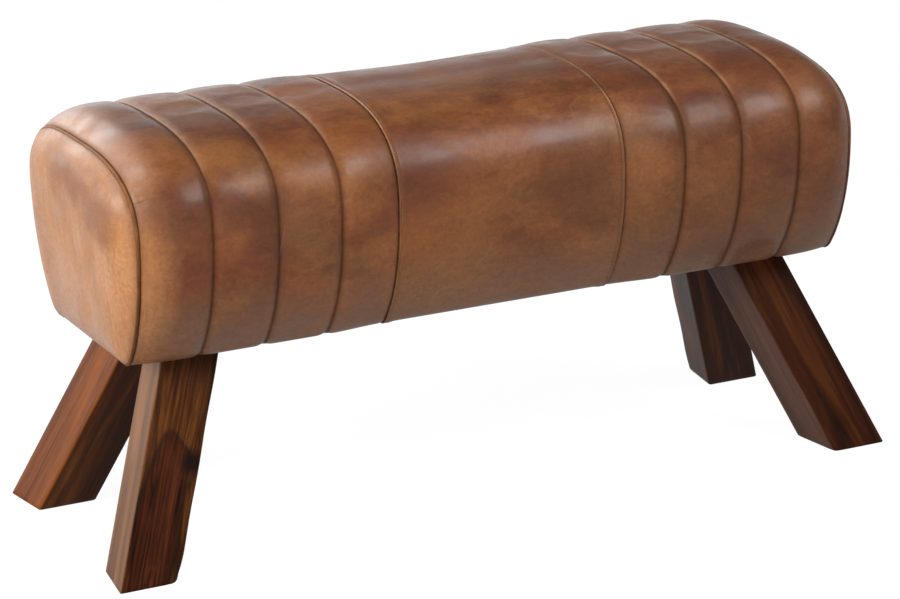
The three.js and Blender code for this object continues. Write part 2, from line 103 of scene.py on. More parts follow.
def section_at(x):
    """The cross-section at x."""
    along = abs(x)
    if along < SEAMS[0]:
        return mixed(MIDDLE_SECTION, PANEL_EDGE_SECTION, smooth(along, 0.0, SEAMS[0]))
    if along < SEAMS[-2]:
        return mixed(PANEL_EDGE_SECTION, CHANNEL_SECTION, smooth(along, SEAMS[0], SEAMS[1]))
    share = min(1.0, (along - SEAMS[-2]) / (SEAMS[-1] - SEAMS[-2]))
    return mixed(CHANNEL_SECTION, END_SECTION, share**ROLL_POWER)


def swell_at(x):
    """How far a channel swells out at x."""
    along = abs(x)
    for low, high in zip(SEAMS, SEAMS[1:]):
        if low <= along <= high:
            share = (along - low) / (high - low)
            return CHANNEL_SWELL * (4 * share * (1 - share)) ** 0.8
    return 0.0


def evenly(points, count):
    """A polyline of points taken at equal steps along its length, with both ends."""
    steps = np.linalg.norm(np.diff(points, axis=0), axis=1)
    length = np.concatenate([[0.0], np.cumsum(steps)])
    wanted = np.linspace(0.0, length[-1], count + 1)
    return np.stack([np.interp(wanted, length, column) for column in points.T], axis=1)


def flank_width(section, height):
    """Half the width of a section at a height."""
    half_width, widest, top, _ = section
    reach = np.where(height > widest, top - widest, widest - FLANK_ROOT)
    power = np.where(height > widest, FRONT_POWER, LOWER_POWER)
    share = np.minimum(1.0, np.abs(height - widest) / reach)
    return half_width * (1 - share**power) ** (1 / power)


def corner_points(section):
    """The rounded corner where the cover turns under, as a quadratic curve."""
    outer = flank_width(section, BOTTOM + CORNER)
    start = np.array([outer - 2 * CORNER, BOTTOM])
    bend = np.array([flank_width(section, BOTTOM), BOTTOM])
    end = np.array([outer, BOTTOM + CORNER])
    t = np.linspace(0, 1, 40)[:, None]
    return (1 - t) ** 2 * start + 2 * t * (1 - t) * bend + t**2 * end


def flank_points(section):
    height = np.linspace(BOTTOM + CORNER, section[1], 120)
    return np.stack([flank_width(section, height), height], axis=1)


def shoulder_points(section, power):
    half_width, widest, top, _ = section
    angle = np.linspace(0, math.pi / 2, 240)
    cos = np.maximum(0.0, np.cos(angle))
    sin = np.sin(angle)
    radius = (cos**power + sin**power) ** (-1 / power)
    return np.stack([half_width * radius * cos, widest + (top - widest) * radius * sin], axis=1)


def half_path(section, power):
    """Half a section from the turned-under edge up to the crest, y positive."""
    corner = corner_points(section)
    under = np.array([[TURN_UNDER_EDGE, BOTTOM], corner[0]])
    runs = (under, corner, flank_points(section), shoulder_points(section, power))
    stretches = [evenly(run, count) for run, count in zip(runs, ROWS.values())]
    return np.concatenate([stretch[:-1] for stretch in stretches] + [stretches[-1][-1:]])


def swollen(path, swell):
    """The path lifted away from the swell axis; the turned-under edge stays flat."""
    y, z = path.T
    fade = smooth(z, BOTTOM + CORNER, BOTTOM + 10 * CORNER)
    flank_share = np.minimum(1.0, np.abs(y) / CENTRE_HALF_WIDTH)
    lift = swell * fade * mixed(CREST_SWELL_SHARE, 1.0, flank_share)
    away = np.stack([y, z - SWELL_AXIS], axis=1)
    away /= np.linalg.norm(away, axis=1)[:, None]
    return path + away * lift[:, None]


def on_columns(at, paths):
    """Points [x, y, z] from one path of [y, z] for each place along X."""
    return np.concatenate([np.broadcast_to(at[:, None, None], paths.shape[:2] + (1,)), paths], axis=2)


def body_path(x, swell_share=1.0):
    """The whole section at x, from the front edge over the crest to the back edge."""
    section = section_at(x)
    front = half_path(section, FRONT_POWER) * np.array([-1, 1])
    back = half_path(section, section[3])[:-1][::-1]
    return swollen(np.concatenate([front, back]), swell_at(x) * swell_share)


def path_normals(path):
    """Unit vectors square to a path of [y, z] points, pointing out of the body."""
    along = np.gradient(path, axis=0)
    along /= np.linalg.norm(along, axis=1)[:, None]
    return np.stack([-along[:, 1], along[:, 0]], axis=1)


# ---------------- meshes


def new_object(name, points, faces):
    mesh = bpy.data.meshes.new(name)
    mesh.from_pydata(points.tolist(), [], [list(face) for face in faces])
    mesh.validate()
    mesh.polygons.foreach_set("use_smooth", [True] * len(mesh.polygons))
    piece = bpy.data.objects.new(name, mesh)
    bpy.context.scene.collection.objects.link(piece)
    return piece


def set_attribute(piece, name, values, kind="FLOAT"):
    attribute = piece.data.attributes.new(name, kind, "POINT")
    key = "vector" if kind == "FLOAT_VECTOR" else "value"
    attribute.data.foreach_set(key, np.asarray(values, np.float32).ravel())


def grid_faces(columns, rows, closed_rows=False, offset=0):
    """Quads over a grid of points stored column by column."""
    faces = []
    last = rows if closed_rows else rows - 1
    for i in range(columns - 1):
        for j in range(last):
            a = offset + i * rows + j
            b = offset + i * rows + (j + 1) % rows
            faces.append((a, b, b + rows, a + rows))
    return faces


def finish_piece(piece, material, slot_name, *nodes):
    """Gives a finished piece its material and its body, and hides the CAD nodes that it stands for."""
    piece.data.materials.clear()
    piece.data.materials.append(material)
    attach(piece, "root")
    if nodes:
        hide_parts(*nodes)
    return piece


def thicken(piece, thickness):
    """Turns an open sheet into a closed one, grown inwards."""
    solidify = piece.modifiers.new("thickness", "SOLIDIFY")
    solidify.thickness = thickness
    solidify.offset = -1.0
    solidify.use_rim = True


# ---------------- cloth simulation

CLOTH_STEP = 0.0065
CLOTH_FRAMES = 20
CLOTH_PRESSURE = 4.0
CLOTH_FOAM_HOLD = 0.2
CLOTH_CAP = 0.005
CLOTH_START_SWELL = 0.7
CLOTH_FOAM_ROOM = 0.0010
SLACK = {"panel": 0.0, "channel": 0.0018, "cap": 0.0015}
CLOTH_SETTINGS = {
    "quality": 5,
    "mass": 0.4,
    "tension_stiffness": 25,
    "compression_stiffness": 25,
    "shear_stiffness": 12,
    "bending_stiffness": 14.0,
    "vertex_group_mass": "hold",
    "use_pressure": True,
    "uniform_pressure_force": CLOTH_PRESSURE,
}


def run_cloth(points, faces, hold, slack):
    """Where the points end up when the leather is blown against its seams. hold is 1 where a point
    is sewn or stapled, and small where only the foam beneath holds it. slack is how much longer
    the leather is than the space it lies over, as a share."""
    sheet = new_object("cloth_stand_in", points, faces)
    group = sheet.vertex_groups.new(name="hold")
    for value in np.unique(hold):
        group.add(np.nonzero(hold == value)[0].tolist(), float(value), "REPLACE")
    cloth = sheet.modifiers.new("cloth", "CLOTH")
    for setting, value in CLOTH_SETTINGS.items():
        setattr(cloth.settings, setting, value)
    cloth.settings.shrink_min = -slack
    cloth.settings.effector_weights.gravity = 0
    cloth.collision_settings.use_collision = False
    cloth.point_cache.frame_start = 1
    cloth.point_cache.frame_end = CLOTH_FRAMES
    scene = bpy.context.scene
    for step in range(1, CLOTH_FRAMES + 1):
        scene.frame_set(step)
    evaluated = sheet.evaluated_get(bpy.context.evaluated_depsgraph_get())
    moved = np.zeros(len(points) * 3, np.float32)
    evaluated.data.vertices.foreach_get("co", moved)
    scene.frame_set(1)
    bpy.data.objects.remove(sheet)
    return moved.reshape(-1, 3).astype(float)


def capped(offset, limit):
    """Offsets eased so that none is longer than the limit."""
    length = np.linalg.norm(offset, axis=-1, keepdims=True)
    return offset * limit * np.tanh(length / limit) / np.maximum(length, 1e-9)


def cubic(values, at, wanted):
    """Values known at evenly spaced places, read along axis 0 with a smooth cubic curve."""
    last = len(at) - 1
    share = np.clip((wanted - at[0]) / (at[1] - at[0]), 0, last - 1e-9)
    i = share.astype(int)
    t = (share - i).reshape((-1,) + (1,) * (values.ndim - 1))
    p0, p1, p2, p3 = [values[np.clip(i + step, 0, last)] for step in (-1, 0, 1, 2)]
    return p1 + 0.5 * t * (p2 - p0 + t * (2 * p0 - 5 * p1 + 4 * p2 - p3 + t * (3 * (p1 - p2) + p3 - p0)))


def cloth_offsets(low, high, slack):
    """How the simulated cloth of one panel differs from the plain surface: the columns' places and
    the offsets, one for each column and row."""
    count = max(6, round((high - low) / CLOTH_STEP))
    at = np.linspace(low, high, count + 1)
    plain = np.array([body_path(x) for x in at])
    start = np.array([body_path(x, CLOTH_START_SWELL) for x in at])
    rows = plain.shape[1]
    coarse = np.arange(0, rows, 2)
    grid = on_columns(at, start[:, coarse])
    hold = np.full((len(at), len(coarse)), CLOTH_FOAM_HOLD)
    hold[[0, -1]] = 1.0
    edge = (ROWS["under"] + ROWS["corner"]) // 2 + 1
    hold[:, :edge] = 1.0
    hold[:, -edge:] = 1.0
    faces = grid_faces(len(at), len(coarse))
    moved = run_cloth(grid.reshape(-1, 3), faces, hold.ravel(), slack).reshape(grid.shape)
    offset = capped(moved - on_columns(at, plain[:, coarse]), CLOTH_CAP)
    out = on_columns(0 * at, np.array([path_normals(path) for path in plain])[:, coarse])
    inward = np.minimum(0.0, np.sum(offset * out, axis=2) + CLOTH_FOAM_ROOM)
    offset -= inward[:, :, None] * out
    by_row = cubic(offset.transpose(1, 0, 2), coarse.astype(float), np.arange(rows, dtype=float))
    return at, by_row.transpose(1, 0, 2)


# ---------------- sewn edges of the leather

ROLL_RADIUS = 0.0011
LIP_HEIGHT = 0.0011
LIP_RADIUS = 0.0012
STITCH_LINE = 0.0033
EDGE_STATIONS = np.array([0, 0.08, 0.3, 0.6, 1, 1.4, 1.9, 2.5, 3.3, 4.2, 5.5, 7.5, 10.2]) / 1000


def rolled(distance, radius):
    """How far a rolled edge has dropped at a distance from its seam."""
    share = np.clip(1 - distance / radius, 0, 1)
    return radius * (1 - np.sqrt(np.maximum(0, 1 - share**2)))


def valley_edge(distance):
    """The edge of a channel on the left of a seam: a soft valley with a rounded bottom."""
    return 0.0005 * np.exp(-distance / 0.0014) - 0.0022 * bell(distance, 0, 0.0055)


def ridge_edge(distance):
    """The edge of a channel on the right of a seam, with the allowance as a fine ridge under it."""
    return valley_edge(distance) + 0.0005 * bell(distance, 0.0024, 0.0015)


def lapped_edge(distance):
    """The centre panel's folded edge, sewn down on top of its neighbour."""
    plateau = LIP_HEIGHT * (1 - smooth(distance, 0.005, 0.016))
    stitched = 0.0009 * bell(distance, STITCH_LINE, 0.0009)
    return plateau - stitched - 1.6 * rolled(distance, LIP_RADIUS)


def under_edge(distance):
    """The channel next to the centre panel, which runs in under the folded edge."""
    return -0.0016 * np.exp(-distance / 0.0022)


def welted_edge(distance):
    """The edge beside the piping cord: a low lip that rolls down to the cord."""
    return 0.0005 * bell(distance, 0.0030, 0.0026) - rolled(distance, ROLL_RADIUS)


# How far from its seam the painted shade of an edge begins: the seams with a cord or a fold are
# dark enough by their depth.
WELT_SHADE_START = 0.0013
SHADE_STARTS = {welted_edge: WELT_SHADE_START, lapped_edge: 0.0010, under_edge: 0.0010}


def columns_between(low, high):
    """Places along X for the surface grid, close together near both seams."""
    inner_low = low + EDGE_STATIONS[-1]
    inner_high = high - EDGE_STATIONS[-1]
    count = max(3, round((inner_high - inner_low) / COLUMN_STEP))
    between = np.linspace(inner_low, inner_high, count + 1)[1:-1]
    return np.concatenate([low + EDGE_STATIONS, between, (high - EDGE_STATIONS)[::-1]])


# ---------------- leather panels

# Soft folds in the leather: the panel's name, the middle of the fold as (x, y, z), the direction
# it runs in, its half length, its half width and its depth.
FOLDS = {
    "left_channel_4": [
        ((-0.430, -0.149, 0.434), (1.0, -0.85, 0.30), 0.014, 0.0026, 0.0011),
        ((-0.434, -0.136, 0.441), (1.0, -1.10, 0.36), 0.013, 0.0026, 0.0011),
    ],
    "right_channel_1": [
        ((0.182, -0.156, 0.448), (1.0, -0.38, -0.21), 0.026, 0.0040, 0.0010),
        ((0.170, -0.060, 0.480), (1.0, 0.3, 0.0), 0.026, 0.0040, 0.0008),
    ],
    "right_channel_2": [
        ((0.235, -0.160, 0.430), (1.0, 0.1, -0.2), 0.026, 0.0040, 0.0007),
    ],
    "left_channel_2": [
        ((-0.262, -0.166, 0.350), (0.5, 0.0, -1.0), 0.030, 0.0040, 0.0006),
    ],
    "left_end_cap": [
        ((-0.459, -0.097, 0.318), (0.0, -0.10, -1.0), 0.055, 0.0050, 0.0020),
        ((-0.462, -0.045, 0.395), (0.0, -0.75, -0.6), 0.045, 0.0120, 0.0012),
    ],
    "right_end_cap": [
        ((0.459, 0.080, 0.320), (0.0, 0.12, -1.0), 0.050, 0.0070, 0.0010),
    ],
}


def fold_depths(points, folds):
    depth = np.zeros(points.shape[:-1])
    for middle, direction, half_length, half_width, deep in folds:
        run = np.array(direction) / np.linalg.norm(direction)
        away = points - np.array(middle)
        along = away @ run
        aside = np.linalg.norm(away - along[..., None] * run, axis=-1)
        profile = bell(aside, 0, half_width) - 0.4 * bell(aside, 0, 2 * half_width)
        depth += deep * bell(along, 0, half_length) * profile
    return depth


def panel_surface(name, low, high, low_edge, high_edge):
    """Points of one panel over its grid, and each point's distance from the nearest seam."""
    at = columns_between(low + SEAM_GAP, high - SEAM_GAP)
    paths = np.array([body_path(x) for x in at])
    normals = np.array([path_normals(path) for path in paths])
    to_low = at - (low + SEAM_GAP)
    to_high = (high - SEAM_GAP) - at
    lift = low_edge(to_low) + high_edge(to_high)
    points = on_columns(at, paths + normals * lift[:, None, None])
    slack = SLACK["panel" if name == "centre_panel" else "channel"]
    cloth_at, offsets = cloth_offsets(low, high, slack)
    points += cubic(offsets, cloth_at, at)
    depth = fold_depths(points, FOLDS.get(name, []))
    points[:, :, 1:] -= normals * depth[:, :, None]
    seam = np.minimum(to_low + SHADE_STARTS.get(low_edge, 0), to_high + SHADE_STARTS.get(high_edge, 0))
    return points, np.repeat(seam[:, None], paths.shape[1], axis=1)


def edge_wear_and_highlight(points, low_edge):
    """How much the dye is rubbed off along the folded edges, with a painted highlight high up along the
    ridges and the folded edges, where they catch the light.
    """
    at = points[:, 0, 0]
    height = points[:, :, 2]
    if low_edge is lapped_edge:
        wear = np.maximum(bell(at - at[0], 0.0010, 0.0010), bell(at[-1] - at, 0.0010, 0.0010))
        return wear[:, None] * mixed(0.25, 0.9, smooth(height, 0.42, 0.465))
    if low_edge is ridge_edge:
        wear = bell(at - at[0], 0.0026, 0.0018)
        return wear[:, None] * 0.65 * smooth(height, 0.440, 0.472)
    return np.zeros(height.shape)


def leather_panel(name, low, high, low_edge, high_edge, material):
    """One sewn panel of the cover, from the seam at low to the seam at high."""
    points, seam = panel_surface(name, low, high, low_edge, high_edge)
    columns, rows = seam.shape
    faces = [face[::-1] for face in grid_faces(columns, rows)]
    piece = new_object(f"{name}_leather", points.reshape(-1, 3), faces)
    set_attribute(piece, "seam", seam.ravel())
    set_attribute(piece, "worn_and_lit", edge_wear_and_highlight(points, low_edge).ravel())
    thicken(piece, LEATHER)
    finish_piece(piece, material, "leather", name)
    return points


def channel(word, side, k, material):
    """Channel k, counted outwards from the centre panel."""
    ends = [side * SEAMS[k - 1], side * (SEAMS[k] - (WELT_ROOM if k == CHANNELS else 0.0))]
    edges = [under_edge if k == 1 else None, welted_edge if k == CHANNELS else None]
    if side < 0:
        ends.reverse()
        edges.reverse()
    low_edge = edges[0] or ridge_edge
    high_edge = edges[1] or valley_edge
    return leather_panel(f"{word}_channel_{k}", *ends, low_edge, high_edge, material)


# ---------------- end caps

CAP_LEVELS = 20
CAP_INNER_SHARE = 0.9
CAP_SEWN_SHARE = 0.915
CAP_REACH = 0.13
AWAY_FROM_SEAMS = 0.02
CAP_BAND = np.array([10.2, 7.6, 5.6, 4.2, 3.2, 2.4, 1.7, 1.1, 0.6, 0.2, 0]) / 1000
CAP_FLAP_HALF_WIDTH = 0.088
CAP_FLAP_ROWS = 5
CAP_MIDDLE_EASE = 0.45
CAP_FLAP_REACH = 0.007
CAP_RIM = SEAMS[-1] + WELT_ROOM
CORNER_MIDDLE = 20


def cap_sides():
    """The outline of the end section in four runs, each [y, z], head to tail: bottom, back, top,
    front, meeting at the four rounded corners."""
    corner = corner_points(END_SECTION)
    flank = flank_points(END_SECTION)
    halves = {}
    for word, power in (("front", FRONT_POWER), ("back", END_SECTION[3])):
        shoulder = shoulder_points(END_SECTION, power)
        middle = len(shoulder) // 2
        upright = np.concatenate([corner[CORNER_MIDDLE:-1], flank[:-1], shoulder[: middle + 1]])
        halves[word] = (corner[: CORNER_MIDDLE + 1], upright, shoulder[middle:])
    mirror = np.array([-1, 1])
    bottom = np.concatenate([halves["front"][0][::-1] * mirror, halves["back"][0]])
    top = np.concatenate([halves["back"][2][:-1], halves["front"][2][::-1] * mirror])
    return [bottom, halves["back"][1], top, halves["front"][1][::-1] * mirror]


def cap_ring(outlines, count):
    """A closed ring of 8 * count places on the outline."""
    return np.concatenate([evenly(run, 2 * count)[:-1] for run in outlines])


def cap_points(side, outline, share):
    """Points of a cap at a share of the way from its middle to its rim."""
    middle = (BOTTOM + END_SECTION[2]) / 2
    height = middle + (outline[:, 1] - middle) * share
    spread_share = math.sqrt((share**2 + CAP_MIDDLE_EASE**2) / (1 + CAP_MIDDLE_EASE**2))
    height_share = 0.5 + (height - middle) / spread_share / (END_SECTION[2] - BOTTOM)
    rise = mixed(CAP_FOOT_BULGE, CAP_BULGE, height_share) * (1 - share**CAP_EDGE_POWER)
    return np.stack([side * (CAP_RIM + rise), outline[:, 0] * share, height], axis=1)


def ring_index(a, b, level):
    """Where grid place (a, b) on a square ring of a level stands in its closed ring."""
    if b == -level and a < level:
        return a + level
    if a == level and b < level:
        return 2 * level + b + level
    if b == level and a > -level:
        return 4 * level + level - a
    return 6 * level + level - b


def cap_mesh(side):
    """Points, faces and shares of a cap: a square grid in the middle and rings round it."""
    outlines = cap_sides()
    rings = [cap_points(side, cap_ring(outlines, 1), 0.0)[:1]]
    starts = [0]
    shares = [np.zeros(1)]
    for level in range(1, CAP_LEVELS + 1):
        share = CAP_INNER_SHARE * level / CAP_LEVELS
        starts.append(starts[-1] + len(rings[-1]))
        rings.append(cap_points(side, cap_ring(outlines, level), share))
        shares.append(np.full(8 * level, share))

    def index(a, b):
        level = max(abs(a), abs(b))
        return 0 if level == 0 else starts[level] + ring_index(a, b, level) % (8 * level)

    faces = []
    for a in range(-CAP_LEVELS, CAP_LEVELS):
        for b in range(-CAP_LEVELS, CAP_LEVELS):
            faces.append((index(a, b), index(a + 1, b), index(a + 1, b + 1), index(a, b + 1)))
    around = 8 * CAP_LEVELS
    outline = cap_ring(outlines, CAP_LEVELS)
    first = starts[-1]
    for distance in CAP_BAND:
        share = 1 - distance / CAP_REACH
        start = first + around
        faces += [
            (first + j, start + j, start + (j + 1) % around, first + (j + 1) % around)
            for j in range(around)
        ]
        rings.append(cap_points(side, outline, share))
        shares.append(np.full(around, share))
        first = start
    faces = [face if side > 0 else face[::-1] for face in faces]
    return np.concatenate(rings), faces, np.concatenate(shares), first, outline


def add_flap(side, points, faces, first, outline):
    """The foot of a cap, turned in under the body to be stapled to the end board."""
    beneath = (outline[:, 1] < BOTTOM + 1e-6) & (abs(outline[:, 0]) < CAP_FLAP_HALF_WIDTH)
    members = np.nonzero(beneath)[0]
    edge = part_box("right_end_board")[1].x + CAP_FLAP_REACH
    rows = [members + first]
    extra = []
    count = len(points)
    for step in range(1, CAP_FLAP_ROWS + 1):
        row = points[rows[0]].copy()
        row[:, 0] = side * mixed(CAP_RIM, edge, step / CAP_FLAP_ROWS)
        rows.append(np.arange(len(members)) + count)
        extra.append(row)
        count += len(members)
    for upper, lower in zip(rows, rows[1:]):
        for j in range(len(members) - 1):
            face = (upper[j], lower[j], lower[j + 1], upper[j + 1])
            faces.append(tuple(int(i) for i in (face if side > 0 else face[::-1])))
    return np.concatenate([points, *extra]), faces, members


def end_cap(word, side, material):
    """The leather over one end, sewn into the piping all round."""
    points, faces, shares, first, outline = cap_mesh(side)
    hold = np.where(shares > CAP_SEWN_SHARE, 1.0, CLOTH_FOAM_HOLD)
    offset = run_cloth(points, faces, hold, SLACK["cap"]) - points
    points = points + capped(offset, CLOTH_CAP) * (1 - smooth(shares, 0.9, 0.93))[:, None]
    points, faces, members = add_flap(side, points, faces, first, outline)
    points[:, 0] -= side * fold_depths(points, FOLDS[f"{word}_end_cap"])
    distance = np.full(len(points), AWAY_FROM_SEAMS)
    distance[: len(shares)] = (1 - shares) * CAP_REACH
    piece = new_object(f"{word}_end_cap_leather", points, faces)
    normals = np.zeros(len(points) * 3, np.float32)
    piece.data.vertex_normals.foreach_get("vector", normals)
    sewn = np.ones(len(points))
    around = len(outline)
    for ring in range(len(CAP_BAND)):
        sewn[first - ring * around + members] = 0.0
    lifted = points + normals.reshape(-1, 3) * (welted_edge(distance) * sewn)[:, None]
    piece.data.vertices.foreach_set("co", lifted.astype(np.float32).ravel())
    set_attribute(piece, "seam", np.where(sewn > 0, distance + WELT_SHADE_START, AWAY_FROM_SEAMS))
    thicken(piece, LEATHER)
    smoother = piece.modifiers.new("smoother", "SUBSURF")
    smoother.levels = 1
    smoother.render_levels = 1
    return finish_piece(piece, material, "leather", f"{word}_end_cap")


# ---------------- piping and stitches

WELT_SIDES = 10
WELT_SINK = 0.0004
WELT_WOBBLE = 0.00012


def swept(path, normals, radius, sides):
    """A round cord along a path in the plane of one X, its ends closed."""
    rings = []
    for j in range(sides):
        angle = 2 * math.pi * j / sides
        aside = np.array([math.sin(angle), 0, 0])
        rings.append(path + radius * (normals * math.cos(angle) + aside))
    points = np.stack(rings, axis=1)
    faces = grid_faces(len(path), sides, closed_rows=True)
    faces.append(tuple(range(sides)))
    faces.append(tuple(range((len(path) - 1) * sides, len(path) * sides))[::-1])
    return points.reshape(-1, 3), faces


def welt(word, side, material):
    """The piping cord in the seam round one end cap."""
    path = body_path(SEAMS[-1])
    normals = path_normals(path)
    step = np.arange(len(path))
    wobble = WELT_WOBBLE * np.sin(step * 0.9) * np.sin(step * 0.23)
    centre = np.column_stack([0 * step + side * SEAMS[-1], path - normals * (WELT_SINK - wobble)[:, None]])
    points, faces = swept(centre, np.column_stack([0 * step, normals]), WELT_RADIUS, WELT_SIDES)
    if side > 0:
        faces = [face[::-1] for face in faces]
    piece = new_object(f"{word}_end_welt_cord", points, faces)
    return finish_piece(piece, material, "welt_leather", f"{word}_end_welt")


# A stitch's outline, as shares: how far along it, how thick, and how high its thread runs.
STITCH_SIDES = 6
HALF_STITCH = [(0.2, 1.0, 0.1), (0.42, 0.7, -0.35), (0.5, 0.15, -1.0)]
STITCH_RINGS = [(-along, width, dip) for along, width, dip in HALF_STITCH[::-1]] + HALF_STITCH
TOPSTITCH = {"pitch": 0.0036, "length": 0.0029, "radius": 0.00036}
SEAM_THREAD = {"pitch": 0.0045, "length": 0.0022, "radius": 0.00025}


def stitches(name, places, material):
    """Many short stitches in one mesh. A place is its middle, its direction, the surface's normal,
    its length and its thread's radius."""
    points = []
    faces = []
    for middle, direction, normal, length, radius in places:
        aside = np.cross(direction, normal)
        start = len(points)
        for along, width, dip in STITCH_RINGS:
            centre = middle + direction * (along * length) + normal * (dip * radius)
            for j in range(STITCH_SIDES):
                angle = 2 * math.pi * j / STITCH_SIDES
                spoke = normal * math.cos(angle) + aside * math.sin(angle)
                points.append(centre + spoke * (radius * width))
        faces += [tuple(face[::-1]) for face in grid_faces(len(STITCH_RINGS), STITCH_SIDES, True, start)]
        faces.append(tuple(range(start, start + STITCH_SIDES))[::-1])
        last = start + (len(STITCH_RINGS) - 1) * STITCH_SIDES
        faces.append(tuple(range(last, last + STITCH_SIDES)))
    piece = new_object(name, np.array(points), faces)
    return finish_piece(piece, material, "leather")


def nearest_column(points, x):
    """The column of a panel's points that lies nearest to x."""
    return points[int(np.argmin(np.abs(points[:, 0, 0] - x)))]


def along_line(line, pitch):
    """Middles, directions and the body's normals at equal steps along a line of constant X."""
    count = int(np.sum(np.linalg.norm(np.diff(line, axis=0), axis=1)) / pitch)
    even = evenly(line, count)
    steps = even[1:] - even[:-1]
    unit = steps / np.linalg.norm(steps, axis=1)[:, None]
    return (even[1:] + even[:-1]) / 2, unit, np.column_stack([0 * unit[:, 0], -unit[:, 2], unit[:, 1]])


def topstitching(word, side, panel_points, material):
    """The row of stitches that holds the centre panel's folded edge down."""
    column = nearest_column(panel_points, side * (SEAMS[0] - SEAM_GAP - STITCH_LINE))
    middles, directions, normals = along_line(column, TOPSTITCH["pitch"])
    size = (TOPSTITCH["length"], TOPSTITCH["radius"])
    places = [(m + n * 0.0001, d, n, *size) for m, d, n in zip(middles, directions, normals)]
    return stitches(f"{word}_panel_topstitching", places, material)


def seam_stitching(word, side, channel_points, material):
    """The threads that show at the bottom of the grooves between channels."""
    across = np.array([1.0, 0.0, 0.0])
    size = (SEAM_THREAD["length"], SEAM_THREAD["radius"])
    places = []
    for k in range(1, CHANNELS):
        line = nearest_column(channel_points[k - 1], side * SEAMS[k]).copy()
        line[:, 0] = side * SEAMS[k]
        middles, _, normals = along_line(line, SEAM_THREAD["pitch"])
        places += [(m, across, n, *size) for m, n in zip(middles, normals)]
    return stitches(f"{word}_channel_stitching", places, material)


# ---------------- legs

LEG_SIDE = 0.065
LEG_ROUND = 0.0028
LEG_ROUND_STEPS = 4
LEG_RING_STEP = 0.011
LEG_FOOT_CHAMFER = 0.0012
LEAN_ALONG = math.radians(22.3)
LEAN_ACROSS = math.radians(20.9)
LEG_FOOT_TAPER = 0.028
LEG_WEAR_HEIGHT = 0.016
LEG_WEAR_WIDTH = 0.006
LEG_RIPPLE = 0.0003


def leg_outline():
    """The square post seen along its axis, its edges eased, with points along each side."""
    half = LEG_SIDE / 2
    points = []
    for corner in range(4):
        middle = math.radians(45 + 90 * corner)
        centre = np.array([math.cos(middle), math.sin(middle)]) * math.sqrt(2) * (half - LEG_ROUND)
        for step in range(LEG_ROUND_STEPS + 1):
            angle = middle - math.radians(45) + math.radians(90) * step / LEG_ROUND_STEPS
            points.append(centre + LEG_ROUND * np.array([math.cos(angle), math.sin(angle)]))
    filled = []
    for i, point in enumerate(points):
        following = points[(i + 1) % len(points)]
        filled.append(point)
        if math.dist(point, following) > half:
            filled += [mixed(point, following, t) for t in (0.06, 0.2, 0.35, 0.5, 0.65, 0.8, 0.94)]
    return np.array(filled)


def leg(word, side_x, side_y, material, worn_corner, worn_away):
    """One leg, its grain coordinates kept so that the figure runs along the timber."""
    low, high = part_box(f"{word}_leg")
    lean = np.array([-side_x * math.tan(LEAN_ALONG), -side_y * math.tan(LEAN_ACROSS), 1.0])
    axis = lean / np.linalg.norm(lean)
    across = np.array([0, axis[2], -axis[1]])
    across /= np.linalg.norm(across)
    along = np.cross(across, axis)

    def ring(section, height):
        """The section cut level at a height, from the post's foot, and each point's run along it."""
        run = (height - section[:, :1] * along[2] - section[:, 1:] * across[2]) / axis[2]
        return section[:, :1] * along + section[:, 1:] * across + run * axis, run

    outline = leg_outline()
    flat, _ = ring(outline, 0.0)
    sides = (side_x, side_y)
    reach = np.max(flat[:, :2] * sides, axis=0)
    outer = [far if side > 0 else -near for near, far, side in zip(low, high, sides)]
    foot = np.array([*(np.array(sides) * (outer - reach)), 0.0])
    shaft = np.arange(0.006, high.z - 0.004, LEG_RING_STEP)
    heights = [0, LEG_FOOT_CHAMFER / 2, LEG_FOOT_CHAMFER, *shaft, high.z - 0.001, high.z]
    rings = []
    grain = []
    for height in heights:
        section = outline * (1 - LEG_FOOT_TAPER * max(0.0, 1 - height / LEG_FOOT_CHAMFER))
        ripple = LEG_RIPPLE * (1 + math.sin(height * 70 + side_x * 2 + side_y))
        wear = worn_away * bell(height, 0, LEG_WEAR_HEIGHT) + ripple
        near = np.linalg.norm(section - np.array(worn_corner) * LEG_SIDE / 2, axis=1)
        section = section * (1 - (wear * bell(near, 0, LEG_WEAR_WIDTH) / (LEG_SIDE / 2)))[:, None]
        points, run = ring(section, height)
        rings.append(foot + points)
        grain.append(np.concatenate([section, run], axis=1))
    count = len(outline)
    points = np.concatenate(rings)
    faces = grid_faces(len(rings), count, closed_rows=True)
    faces.append(tuple(range(count))[::-1])
    faces.append(tuple(range(len(points) - count, len(points))))
    piece = new_object(f"{word}_leg_timber", points, outward(points, faces))
    set_attribute(piece, "grain", np.concatenate(grain), "FLOAT_VECTOR")
    return finish_piece(piece, material, "sheesham", f"{word}_leg")


def outward(points, faces):
    """Faces turned so that the closed solid they make has a positive volume."""
    total = 0.0
    for face in faces:
        a = points[face[0]]
        for b, c in zip(face[1:], face[2:]):
            total += np.dot(a, np.cross(points[b], points[c]))
    return faces if total > 0 else [tuple(face[::-1]) for face in faces]


# ---------------- underside


WINDOW_MIDDLE = np.array([0.354, 0.04985])
WINDOW_HALF = np.array([0.042, 0.037])
COVER_SAG = 0.0035
COVER_PUCKER = 0.0006
COVER_HEM = 0.0005
COVER_THICKNESS = 0.0008


def stations(far, window_middle, window_half, step=0.006):
    """Places from -far to far, with one on each edge of the windows."""
    edges = (window_middle - window_half, window_middle + window_half, far)
    breaks = [-edge for edge in edges[::-1]] + list(edges)
    runs = [np.linspace(a, b, max(2, round((b - a) / step)) + 1)[:-1] for a, b in zip(breaks, breaks[1:])]
    return np.concatenate([*runs, [far]])


